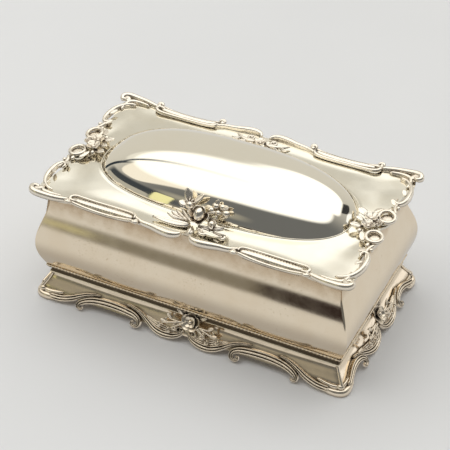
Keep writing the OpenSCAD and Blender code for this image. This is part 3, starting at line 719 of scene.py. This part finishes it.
def foot_border(side):
    """Cast border of one side of the base, whose scrolls are the feet."""
    long = side % 2 == 0
    shape = Shape()
    for mirror in (False, True):
        line_out = FOOT_LINE_OUT["long" if long else "short"]
        shape.place = leaning([0, -line_out, FOOT_LINE_Z], FOOT_SLOPE, on_side(side, mirror))
        for rows in ((FOOT_LOBE, FOOT_ARCH, FOOT_END) if long else (FOOT_SHORT_LOBE, FOOT_SHORT_ARCH)):
            shape.rail(rows, TWIN)
        # Reeds that fill the bay of the lobe, drawn together at its two ends.
        line = spline((FOOT_LOBE if long else FOOT_SHORT_LOBE)[:8], step=0.7)
        t = np.linspace(0, 1, len(line))
        for k, rise in enumerate((2.4, 3.7, 4.9)):
            shift = np.column_stack([0 * t, rise * np.sin(pi * t) ** 0.8, 0 * t - 0.25 * k])
            shape.tube(line[:, :3] + shift, 0.75 - 0.08 * k, sides=8)
        shape.coil([4.8, 5.6, 1.2], UP, [-1, 0.6, 0], 2.2, 1.1, (0.9, 0.5), -1)
    cast(shape, "foot_border_" + SIDES[side])


for i in range(4):
    lid_border(i)
    foot_border(i)


# -------- corners

# Mouldings of a corner. Rows are x, y and z from the mouth's corner, on the floor or on the lid plate, and
# then the half width and the half height.
FOOT_CORNER = [[-7, 7.7, 3.6, 1.2, 1.2], [-1, 8.3, 2.7, 1.8, 1.8], [4, 7.9, 2.4, 2.2, 2.1],
               [7.7, 6.1, 2.5, 2.3, 2.2], [8.9, 2, 2.7, 2.0, 1.9], [8.8, -4, 3.6, 1.4, 1.4]]
FOOT_CORNER_INSIDE = [[-9, 6.2, 6.6, 0.8, 0.9], [-2, 6.9, 5.5, 1.2, 1.2], [3, 6.6, 5.2, 1.4, 1.4],
                      [6.2, 4.6, 5.3, 1.3, 1.3], [7.1, -0.6, 5.9, 1.0, 1.1], [6.6, -6, 7, 0.7, 0.8]]
LID_CORNER = [[-12, 3.6, 0.9, 0.7, 0.9], [-5, 4.3, 1.1, 1.1, 1.2], [1, 3.2, 1.1, 1.3, 1.3],
              [3.0, -1.6, 0.9, 1.1, 1.2], [2.6, -7, 0.7, 0.8, 0.9]]
CORNERS = {"front_left": (-1, -1), "front_right": (1, -1), "back_right": (1, 1), "back_left": (-1, 1)}


def corner_rib():
    """Thin rail down the skirt's corner, from under the moulding to the foot's scroll."""
    top, low = (np.array([HALF_L + skirt_out(z), HALF_W + skirt_out(z), z]) for z in (SKIRT_Z, SKIRT_EDGE_Z))
    top += [0, 0, -0.4]
    low += [0.6, 0.6, 0.4]
    middle = top * 0.55 + low * 0.45 + [-0.5, -0.5, 0]
    return spline([[*top, 0.6, 0.7], [*middle, 0.7, 0.8], [*(low + [-0.3, -0.3, 0.6]), 1.1, 1.0]], step=0.8)


for name, signs in CORNERS.items():
    foot = Shape(lambda p: p * np.array([*signs, 1]))
    corner = np.array([HALF_L, HALF_W, 0])
    for rows in (FOOT_CORNER, FOOT_CORNER_INSIDE):
        foot.rail(np.array(rows) + [*corner, 0, 0], ROLL)
    foot.ball(corner + [5.8, 6.2, 5.8], [2.4, 2.2, 1.9])
    foot.rail(corner_rib(), ROLL)
    cast(foot, "foot_corner_" + name)
    lid = Shape(foot.place)
    corner = np.array([HALF_L, HALF_W, PLATE_TOP])
    lid.rail(np.array(LID_CORNER) + [*corner, 0, 0], ROLL)
    lid.blade(corner + [1.5, 1.5, 1.6], [1, 1, 0.1], UP, 6.4, 3.4, 0.5, 0.6, 0.5, 0.4)
    cast(lid, "lid_corner_" + name)


# -------- lid: plate, dome and bead

def dome_outline(phi, grow=0.0):
    """Point of the dome's outline in direction phi, moved out by grow."""
    k = (abs(cos(phi)) ** DOME_N + abs(sin(phi)) ** DOME_N) ** (-1 / DOME_N)
    return np.array([(DOME_A + grow) * k * cos(phi), (DOME_B + grow) * k * sin(phi)])


def dome_rise(r):
    """Height over the dome's foot at a fraction r of the way out. The foot still slopes a little."""
    def curve(q):
        return (1 - q ** DOME_PROFILE) ** (1 / DOME_PROFILE)
    height = DOME_TOP - PLATE_TOP - DOME_FOOT
    return height * (curve(min(r, 1) * DOME_CUT) - curve(DOME_CUT)) / (1 - curve(DOME_CUT))


TURNS = circle(144)


def dome_ring(r, z, grow=0.0):
    """Ring of the dome at a fraction r of the way out and at height z."""
    return [[*(dome_outline(a, grow) * r), z] for a in TURNS]


dome_rows = [dome_ring(sin(angle), PLATE_TOP + DOME_FOOT + dome_rise(sin(angle)))
             for angle in np.linspace(0.002, 0.5, 30) * pi]
dome_rows += [dome_ring(1, PLATE_TOP), dome_ring(1, PLATE_TOP, -SHEET)]
dome_rows += [dome_ring(sin(angle), PLATE_TOP + 0.3 + dome_rise(sin(angle)) * 0.94, -SHEET)
              for angle in np.linspace(0.5, 0.002, 16) * pi]
dome = Shape()
dome.rows(dome_rows)
build(dome, "polished_dome", "mirror_silver", "lid", "dome", sharp=70)

# Beaded wire round the dome, on the cove where the plate rises to it.
BEAD_R, BEAD_PITCH = 0.38, 1.3
COVE_H, COVE_W = 0.7, 3.0
DISH = 0.4
ring = [[*dome_outline(a, 0.05), PLATE_TOP + COVE_H - 0.1] for a in np.linspace(0, 2 * pi, 721)]
bead_path = beaded(np.array(ring), BEAD_PITCH)
swelling = 0.8 + 0.22 * np.cos(2 * pi * np.arange(len(bead_path)) / PER_BEAD)
bead = Shape()
bead.tube(bead_path, BEAD_R * swelling, sides=8, loop=True)
build(bead, "dome_bead_wire", "mirror_silver", "lid", "dome_bead")


def plate_outline():
    """Outline of the lid plate, which ends under the middle of the cast borders."""
    points = []
    for side in range(4):
        path = border_path(LID_SHORT if side % 2 else LID_LONG, side, 2.5)[:, :2] + [0, 0.6]
        whole = np.vstack([path[::-1] * [-1, 1], path])
        points.append(on_side(side)(np.column_stack([whole, np.zeros(len(whole))]))[:, :2])
    return np.vstack(points)


def plate_height(from_dome, v):
    """Height of the plate's face: a cove at the foot of the dome, then a shallow dish."""
    cove = COVE_H * max(1 - from_dome / COVE_W, 0) ** 2.2
    return PLATE_TOP + cove - DISH * sin(pi * v) ** 2


outline = plate_outline()
inner_edge = np.array([dome_outline(atan2(y / DOME_B, x / DOME_A), -0.4) for x, y in outline])
reach = np.linalg.norm(outline - inner_edge, axis=1)


def plate_row(v, heights):
    """Ring of the plate at a fraction v of the way from the dome to the outline."""
    return np.column_stack([inner_edge * (1 - v) + outline * v, heights])


plate_rows = [plate_row(v, [plate_height(v * r, v) for r in reach])
              for v in [*np.linspace(0, 1, 9) * 0.16, *np.linspace(0.22, 1, 9)]]
plate_rows += [plate_row(v, np.full(len(outline), PLATE_Z)) for v in (1, 0.5, 0)]
plate = Shape()
plate.rows(plate_rows, loop=True)
build(plate, "dished_plate", "lid_silver", "lid", "lid_plate", sharp=50)


# -------- sprays

def foot_spray(side):
    """Open rose on the slope of the skirt, with pointed leaves above it and forked tendrils to each side."""
    front_shift, out = 2.4 * (side == 0), 4.0 + side % 2
    shape = Shape(leaning([front_shift, -out, 14.4], 56, on_side(side)))
    shape.bloom([0.4, 0.6, 0.6], [(5, 6.2, 6.0, 12, 0.8, 1.0)], 0, 0.3)
    shape.bloom([0.5, 0.8, 2.0], [(4, 3.9, 4.2, 20, 0.9, 0.5)], 1.5, 0.9)
    for x, y, lean, length, width in ((-5, 3.4, -1.1, 9, 3.8), (-3.6, 4.2, -0.4, 7, 3.4),
                                      (4.6, 3.4, 1.6, 7.4, 3.2), (3, 4.2, 0.7, 5, 3)):
        shape.blade([x, y, 0.7], [lean, 1, 0.2], UP, length, width, 0.45, 0.6, 0.6, 0.7, thick=1.8)
    for end in (-1, 1):
        for reach, drop, curl, bar in ((8.4, -3.4, 2.3, 0.75), (14.4, -1.0, 2.1, 0.6),
                                       (12.0, -6.8, 1.7, 0.55), (18.6, -5.0, 1.6, 0.55)):
            stem = spline([[3 * end, -1.2, 0.7], [end * reach * 0.55, drop * 0.3 - 1, 1.6],
                           [end * reach, drop, 1.3]], step=0.8)
            shape.tube(stem, np.linspace(bar + 0.15, bar, len(stem)), sides=8)
            shape.coil([end * (reach + 0.3), drop - curl, 1.2], UP, [0, 1, 0], curl, 0.8, (bar, 0.4), -end,
                       0.7)
        shape.blade([end * 11.4, -1.2, 1.1], [end, 0.7, 0.1], UP, 5.2, 2.2, 0.5, 0.4, 0.5, 0.5, thick=1.6)
        shape.blade([end * 14.6, -3.8, 1.0], [end, 0.2, 0.1], UP, 4.6, 1.9, 0.5, 0.4, 0.4, 0.4, thick=1.5)
    cast(shape, "foot_spray_" + SIDES[side])


for i in range(4):
    foot_spray(i)


def thumbpiece():
    """Berry wrapped in petals, with a lily, a blossom and a bud, over leaves that lie on the lid plate."""
    shape = Shape(leaning([0.4, -DOME_B - 2.8, PLATE_TOP + 5.2], 38))
    shape.ball([2, 0.2, 3.2], [3.4, 4.5, 3.9], 14, 24)
    for a, length, width, rise in ((120, 7.4, 6.4, 58), (185, 7.8, 6.4, 40), (240, 6.8, 5.6, 30),
                                   (60, 7, 5.6, 52), (-10, 6.6, 5.4, 28), (290, 6.4, 5, 24)):
        c, s = cos(radians(a)), sin(radians(a))
        e = radians(rise)
        shape.blade([2 + 1.6 * c, 1.6 * s, 0], [c * cos(e), s * cos(e), sin(e)],
                    [-c * sin(e), -s * sin(e), cos(e)], length, width, 0.6, 1.2, 1.6, thick=1.5)
    lily = np.array([-6.0, 3.2, 1.4])
    for tip, width in (((-10.0, 13.0, 4.8), 5.0), ((1.6, 11.6, 4.6), 4.2), ((-12.6, 3.6, 3.6), 4.2)):
        way = np.array(tip) - lily
        shape.blade(lily, way, [0.0, 0.35, 1], np.linalg.norm(way), width, 0.58, 0.15, 0.1, thick=2.2)
    shape.ball(lily + [0.2, 0.6, 0.6], [3.0, 2.6, 2.3])
    for a in (-60, -25, 10, 45):
        c, s = cos(radians(a + 90)), sin(radians(a + 90))
        shape.tube([lily + [0.6 * c, 0.6 * s, 2.0], lily + [2.4 * c, 2.4 * s + 0.4, 2.6],
                    lily + [4.2 * c, 4.2 * s + 0.6, 2.4]], 0.5, sides=8)
    for x, y, size in ((9.2, 7.4, 2.0), (13.2, 7.8, 1.7), (16.6, 4.8, 2.1), (11.8, 4.0, 1.6),
                       (7.4, 4.6, 1.8)):
        shape.ball([x, y, 1.4 + 0.2 * size], [size * 1.15, size, size * 0.9])
    shape.blade([9, 6, 1.6], [0.2, 1, 0.3], UP, 5.6, 3.2, 0.5, -0.4, 0.6, 0.6)
    shape.blade([12.6, 6, 1.8], [1, 0.5, 0.2], UP, 5.8, 3.0, 0.5, -0.4, 0.6, 0.6)
    shape.tube(spline([[4, 1, 0.8], [9, 3.4, 1.6], [14.4, 4.6, 1.6]], step=0.8), 1.0)
    shape.ball([10.6, -3.2, 1.5], [2.7, 2.1, 2.0])
    for lean in (-0.9, 0.0, 0.9):
        shape.blade([8.2, -2.4, 0.9], [1, lean, 0.3], UP, 6.4, 2.8, 0.5, 0.8, 1.0, thick=1.4)
    shape.place = leaning([0, -DOME_B - 8.2, PLATE_TOP + 0.7], 0)
    # Feathered leaves and the long leaf to the left.
    for k, lean in enumerate((0.75, 0.5, 0.28, 0.08)):
        shape.blade([-2.6 - 1.8 * k, 1.9 - 0.4 * k, 1.0], [-1, lean, 0.12], UP, 11.5 - 0.6 * k, 2.7, 0.45,
                    -0.4, 0.5, 0.5, thick=1.5)
    shape.blade([-1, -1.0, 0.8], [-1, -0.10, 0.0], UP, 24, 5.6, 0.40, -0.8, 0.2, 1.0, thick=1.9)
    # Lobed leaf group to the right, with a curl round a knob.
    for root, lean, length, width in (((3, -0.4, 0.9), 0.12, 16, 3.4), ((3, -2, 0.8), -0.2, 18, 3.8),
                                      ((11, 0.6, 1.0), 0.5, 8, 2.6), ((13, -1.0, 0.8), -0.1, 9, 2.8)):
        shape.blade(root, [1, lean, 0.06], UP, length, width, 0.45, -0.5, 0.4, 0.8, thick=1.6)
    shape.coil([8.6, -3.4, 0.9], UP, [1, 0.6, 0], 3.2, 1.2, (1.1, 0.8), 1, 1.3, 0.5)
    shape.coil([19.6, -3.6, 0.9], UP, [-0.4, 1, 0], 2.4, 1.0, (0.95, 0.6), -1, 0.9)
    shape.blade([0.4, -1.2, 0.6], [0.05, -1, -0.1], UP, 6.6, 4.6, 0.55, -0.6, -0.2, 0.8, thick=1.6)
    cast(shape, "thumbpiece_spray", "cast_thumbpiece")


def lid_spray_short(side):
    """Two blossoms between the rings of a short side, with smooth leaves that reach towards the dome."""
    shape = Shape(leaning([0, 0, PLATE_TOP + 1.2], 0, on_side(side)))
    for x, y, size, phase in ((-3.4, 3.4, 4.6, 0.2), (4.0, 4.4, 5.0, 0.9), (0.4, -0.4, 3.6, 0.5)):
        shape.bloom([x, y, 0.9], [(4, size, size * 0.95, 24, 0.9, 0.9)], size * 0.3, phase)
    for x, y, lean, length, width in ((5.4, 6.0, 0.35, 9.0, 5.0), (-4.2, 5.6, -0.45, 8.6, 4.6),
                                      (0.6, 6.4, 0.0, 6.4, 3.6)):
        shape.blade([x, y, 0.7], [lean, 1, 0.22], UP, length, width, 0.6, 0.8, 0.8, 0.4, thick=1.8)
    for end in (-1, 1):
        shape.ball([end * 8.6, 6.6, 1.0], [1.8, 1.5, 1.5])
        shape.blade([end * 16.5, 1.6, 0.6], [-end, 0.5, 0.1], UP, 8, 3.4, 0.45, 0.6, 0.4, 0.4, thick=1.6)
    cast(shape, "lid_spray_" + SIDES[side])


def lid_spray_back():
    """Leaf clasp at the middle of the back, between two facing C-scrolls."""
    shape = Shape(leaning([0, 0, PLATE_TOP + 0.9], 0, on_side(2)))
    for end in (-1, 1):
        scroll = spline([[1.6 * end, 0.6, 0.4], [3.4 * end, 3.6, 0.8], [8 * end, 4.4, 0.9],
                         [13.4 * end, 2.6, 0.7], [18 * end, -1.0, 0.4]], step=0.8)
        shape.tube(scroll, 1.25 * np.sin(np.linspace(0.5, 2.7, len(scroll))))
        for k, (x, lean) in enumerate(((4, 1.1), (8.5, 0.8), (13, 0.5))):
            shape.blade([x * end, 5.0 - k, 0.5], [end, lean, 0.1], UP, 6.4, 2.8, 0.5, -0.4, 0.5, 0.6,
                        thick=1.4)
        shape.coil([7.4 * end, 0.6, 0.8], UP, [-end, 0.4, 0], 2.6, 1.1, (0.95, 0.6), -end, 1.0, 0.5)
    shape.bloom([0, 4.4, 0.6], [(5, 4, 3.4, 22, 0.9, 0.6)], 1.3)
    cast(shape, "lid_spray_back")


thumbpiece()
lid_spray_short(1)
lid_spray_short(3)
lid_spray_back()


# -------- lining

def puffed(piece, voxel, box, pressure=4.0, steps=20, cap=0.6):
    """Swells a pad as cloth under pressure. No point moves more than cap, in mm, or out of the pad's box."""
    scene = bpy.context.scene

    def result():
        return bpy.data.meshes.new_from_object(piece.evaluated_get(bpy.context.evaluated_depsgraph_get()))
    remesh = piece.modifiers.new("remesh", "REMESH")
    remesh.mode, remesh.voxel_size = "VOXEL", voxel * MM
    piece.data = result()
    piece.modifiers.clear()
    start = coordinates(piece.data)
    cloth = piece.modifiers.new("cloth", "CLOTH")
    cloth.settings.use_pressure = True
    cloth.settings.uniform_pressure_force = pressure
    cloth.settings.effector_weights.gravity = 0
    cloth.settings.tension_stiffness = cloth.settings.compression_stiffness = 8
    cloth.collision_settings.use_collision = False
    for step in range(1, steps + 1):
        scene.frame_set(step)
    moved = coordinates(result())
    piece.modifiers.clear()
    scene.frame_set(1)
    low, high = (np.array(corner) * MM for corner in box)
    shift = moved - start
    size = np.linalg.norm(shift, axis=1, keepdims=True) + 1e-9
    shift *= cap * MM * np.tanh(size / (cap * MM)) / size
    piece.data.vertices.foreach_set("co", np.clip(start + shift, low, high).ravel())
    piece.data.shade_smooth()
    soft = piece.modifiers.new("soft", "SUBSURF")
    soft.levels = soft.render_levels = 1
    piece.data = result()
    piece.modifiers.clear()


def cushion(name, node, thin, body, voxel):
    """Padded panel in the space of a CAD pad, thin along one axis, crowned, with its sides drawn in."""
    low, high = node_box(node)
    centre, half = (low + high) / 2, (high - low) / 2 - 0.3
    across = [k for k in range(3) if k != thin]
    n = [max(int(half[k] / 1.5), 6) for k in across]
    u, v = np.meshgrid(np.linspace(-1, 1, n[0]), np.linspace(-1, 1, n[1]), indexing="ij")
    edge = np.minimum((1 - np.abs(u)) * half[across[0]], (1 - np.abs(v)) * half[across[1]])
    crown = np.sqrt(np.clip(edge / 5, 0.0, 1)) * 0.66 + 0.26
    points, faces = [], []
    for way in (1, -1):
        p = np.zeros((*u.shape, 3))
        p[..., across[0]] = u * (half[across[0]] - 0.5 * (1 - v ** 2))
        p[..., across[1]] = v * (half[across[1]] - 0.5 * (1 - u ** 2))
        p[..., thin] = way * half[thin] * crown
        points.append(p.reshape(-1, 3) + centre)
    count = n[0] * n[1]
    for layer in (0, 1):
        for i in range(n[0] - 1):
            for k in range(n[1] - 1):
                a = layer * count + i * n[1] + k
                faces.append((a, a + 1, a + n[1] + 1, a + n[1]))
    rim = ([i * n[1] for i in range(n[0])] + [(n[0] - 1) * n[1] + k for k in range(1, n[1])]
           + [i * n[1] + n[1] - 1 for i in range(n[0] - 2, -1, -1)] + list(range(n[1] - 2, 0, -1)))
    for a, b in zip(rim, rim[1:] + rim[:1]):
        faces.append((a, b, b + count, a + count))
    shape = Shape()
    shape.points, shape.faces = list(np.vstack(points)), faces
    piece = build(shape, name, "velvet", body, node)
    puffed(piece, voxel, (low + 0.1, high - 0.1))


for side_name, thin_axis in (("front", 1), ("right", 0), ("back", 1), ("left", 0)):
    cushion("velvet_side_" + side_name, "pad_" + side_name, thin_axis, "case", 1.5)
cushion("velvet_floor", "pad_floor", 2, "case", 2.2)
cushion("velvet_lid", "lid_pad", 2, "lid", 1.8)


# -------- tarnish and painted shade in the hollows

GRID_MARGIN = 8


def mark_hollows(names, cell=0.6, steps=(1.1, 2.0, 3.1, 4.4), rays=12):
    """Stores on each vertex how much of what is in front of it is close by, for the tarnish and painted
    shade of the crevices.
    Rays step through a grid of cells, in mm, that are filled where a piece is."""
    clouds = []
    for piece in made.values():
        mesh = piece.data
        co = coordinates(mesh) / MM
        clouds.append(co)
        # Long faces get extra points, so that no gap is left between the corners.
        for a, b in np.array([e.vertices[:] for e in mesh.edges]):
            n = int(np.linalg.norm(co[a] - co[b]) / cell)
            if n > 1:
                t = np.arange(1, n)[:, None] / n
                clouds.append(co[a] * (1 - t) + co[b] * t)
    cloud = np.vstack(clouds)
    low = cloud.min(0) - GRID_MARGIN
    size = np.ceil((cloud.max(0) + GRID_MARGIN - low) / cell).astype(int)
    filled = np.zeros(size, bool)
    filled[tuple(((cloud - low) / cell).astype(int).T)] = True
    golden = pi * (3 - sqrt(5))
    for name in names:
        mesh = made[name].data
        co, n = coordinates(mesh) / MM, np.empty(3 * len(mesh.vertices))
        mesh.vertex_normals.foreach_get("vector", n)
        n = n.reshape(-1, 3)
        side = np.cross(n, [0.31, 0.54, 0.78])
        side /= np.linalg.norm(side, axis=1, keepdims=True) + 1e-9
        other = np.cross(n, side)
        value = np.zeros(len(n))
        for k in range(rays):
            z = 1 - (k + 0.5) / rays * 0.75
            r = sqrt(1 - z * z)
            way = side * (r * cos(golden * k)) + other * (r * sin(golden * k)) + n * z
            open_way = np.ones(len(n), bool)
            for step in steps:
                cells = ((co + way * step - low) / cell).astype(int)
                hit = filled[tuple(cells.T)] & open_way
                value[hit] += (1.15 - step / 6) / rays
                open_way &= ~hit
        if name.startswith("cast_lid_border"):
            # The borders' undersides are painted dark: painted shade and a painted reflection of the wall
            # below, with tarnish where they are never polished.
            value = np.maximum(value, 0.66 * (1 - fade_in(co[:, 2], PLATE_Z - 0.4, PLATE_TOP + 0.7)))
        store_shade_and_tarnish(made[name], lambda p, value=value: value)


mark_hollows([n for n in made if n.startswith(("cast_", "twisted", "ogee", "dome_bead"))])
# Painted shade in the moulding's cove, with some tarnish: all above the fillet goes dark.
store_shade_and_tarnish(made["moulding"], lambda p: 0.95 * fade_in(p[:, 2], SKIRT_Z + 0.6, SKIRT_Z + 1.3))


# -------- floor, lights and camera

FLOOR_HALF = 6
floor_mesh = bpy.data.meshes.new("floor")
floor_corners = [(FLOOR_HALF * x, FLOOR_HALF * y, 0) for x, y in ((-1, -1), (1, -1), (1, 1), (-1, 1))]
floor_mesh.from_pydata(floor_corners, [], [(0, 1, 2, 3)])
floor = new_object("floor", floor_mesh)
floor_material, floor_shader, add, noise, ramp = material("floor", (0.68, 0.685, 0.70), 0.8, 0.0)
feed(floor_shader, {"Base Color": mix_colour(add, ramp(noise(3, 3), 0, 1), (0.67, 0.675, 0.69),
                                             (0.70, 0.705, 0.72))})
floor_mesh.materials.append(floor_material)
# Reflections take the table from the studio world, which has the dim edges that the silver shows.
floor.visible_glossy = False

ROOM_FRONT, ROOM_BACK = (0.15, 0.152, 0.15), (0.66, 0.635, 0.57)
TABLE_EDGE, TABLE_PAINTED_SHADOW = (0.68, 0.67, 0.645), (0.42, 0.405, 0.385)


def studio_world():
    """Room as the silver sees it: pale behind, dim in front, the table below, darker straight down in a
    painted shadow, and the windows over them.
    Bearings are in degrees, 0 in front of the box and 90 to its right."""
    world = bpy.data.worlds.new("studio")
    world.use_nodes = True
    add = node_adder(world.node_tree)
    direction = add("ShaderNodeTexCoord").outputs["Generated"]

    def along(axis):
        return add("ShaderNodeVectorMath", {0: direction, 1: axis}, operation="DOT_PRODUCT").outputs["Value"]

    def fade(value, start, end):
        return add("ShaderNodeMapRange", {"Value": value, "From Min": start, "From Max": end},
                   interpolation_type="SMOOTHSTEP").outputs["Result"]

    def window(bearing, height, half_w, half_h, soft, power, middle):
        """Mask of a window seen in a direction, its half sizes as tangents. Low powers round its outline."""
        a, e = radians(bearing), radians(height)
        out = (sin(a) * cos(e), -cos(a) * cos(e), sin(e))
        across = (cos(a), sin(a), 0.0)
        lift = tuple(np.cross(out, across) * (1 if np.cross(out, across)[2] >= -1e-6 else -1))
        depth = math_node(add, "MAXIMUM", along(out), 0.001)
        terms = []
        for axis, half, offset in ((across, half_w, middle[0]), (lift, half_h, middle[1])):
            place = math_node(add, "SUBTRACT", math_node(add, "DIVIDE", along(axis), depth), offset)
            part = math_node(add, "ABSOLUTE", math_node(add, "DIVIDE", place, half))
            terms.append(math_node(add, "POWER", part, power))
        size = math_node(add, "POWER", math_node(add, "ADD", *terms), 1 / power)
        return fade(size, 1 + soft, 1 - soft)

    room = mix_colour(add, fade(along((-0.5, 0.86, 0.0)), -0.55, 0.85), ROOM_FRONT, ROOM_BACK)
    # The table darkens straight down: a painted shadow of the box on the table, as the silver reflects it.
    table = mix_colour(add, fade(along((0, 0, 1)), -0.35, -0.95), TABLE_EDGE, TABLE_PAINTED_SHADOW)
    colour = mix_colour(add, fade(along((0, 0, 1)), 0.0, -0.03), room, table)
    for *mask, glow in WINDOWS:
        colour = mix_colour(add, window(*mask), colour, glow)
    feed(world.node_tree.nodes["Background"], {"Color": colour})
    bpy.context.scene.world = world


# Bearing, height, half width, half height, softness, power, offset of the middle and colour of each window.
# Later ones cover earlier ones. Those at height 90 are a wide white scrim overhead and a dim stripe over it.
WINDOWS = [
    (-24, 20, 0.20, 0.12, 0.50, 3.0, (0, 0), (0.36, 0.34, 0.28)),
    (-58, 12, 0.60, 0.15, 0.30, 5.0, (0, 0), (0.05, 0.058, 0.065)),
    (-8, 0.8, 0.75, 0.050, 0.70, 4.0, (0, 0), (0.22, 0.205, 0.165)),
    (-5.2, 0.2, 0.205, 0.052, 0.04, 2.2, (0, 0), (0.022, 0.012, 0.010)),
    (-62, 0.5, 0.46, 0.15, 0.05, 8.0, (0, 0), (0.46, 0.44, 0.38)),
    (-32.3, 8.6, 0.070, 0.152, 0.06, 8.0, (0, 0), (0.92, 0.88, 0.46)),
    (-97, 14, 0.05, 0.44, 0.20, 6.0, (0, 0), (0.03, 0.04, 0.05)),
    (146, 25, 0.08, 0.13, 0.12, 6.0, (0, 0), (0.04, 0.04, 0.04)),
    (136, 8, 0.10, 0.20, 0.06, 8.0, (0, 0), (1.1, 1.1, 1.1)),
    (26.2, 90, 0.50, 0.33, 0.30, 3.0, (-0.75, 1.02), (0.86, 0.84, 0.76)),
    (26.2, 90, 0.95, 0.58, 0.10, 3.2, (-1.35, 0.05), (0.98, 0.92, 0.80)),
    (26.2, 90, 1.05, 0.92, 0.13, 2.6, (0.00, 0.35), (1.35, 1.33, 1.26)),
    (26.2, 90, 0.85, 0.55, 0.14, 2.4, (0.75, 0.85), (1.35, 1.33, 1.26)),
    (4.4, 90, 0.75, 0.055, 0.60, 3.0, (-1.35, 0.40), (0.10, 0.11, 0.12)),
]
studio_world()
bpy.context.scene.view_settings.view_transform = "Standard"

# Light on the floor. The silver doesn't reflect it.
light = bpy.data.lights.new("table_light", "AREA")
light.shape = "RECTANGLE"
light.size, light.size_y, light.energy, light.color = 2.0, 2.0, 9.9, (0.96, 0.98, 1.0)
table_light = new_object("table_light", light)
light_place, light_aim = Vector((-0.45, -0.05, 1.6)), Vector((-0.1, -0.05, 0))
table_light.location = light_place
table_light.rotation_euler = (light_aim - light_place).to_track_quat("-Z", "Y").to_euler()
table_light.visible_camera = False
table_light.visible_glossy = False

# Camera at the photograph's angle, aimed near the middle of the part.
AZIMUTH, ELEVATION, DISTANCE = radians(26.2), radians(37.9), 0.870
LENS, SENSOR = 111.64, 36
MIDDLE = (Vector(cad_bounds[0]) + Vector(cad_bounds[1])) / 2
TARGET = MIDDLE + Vector((-0.0096, 0.0161, -0.0154))
eye = Vector((sin(AZIMUTH) * cos(ELEVATION), -cos(AZIMUTH) * cos(ELEVATION), sin(ELEVATION)))
camera = new_object("camera", bpy.data.cameras.new("camera"))
camera.location = TARGET + eye * DISTANCE
camera.rotation_euler = (-eye).to_track_quat("-Z", "Y").to_euler()
camera.data.lens = LENS
camera.data.sensor_width = SENSOR
bpy.context.scene.camera = camera
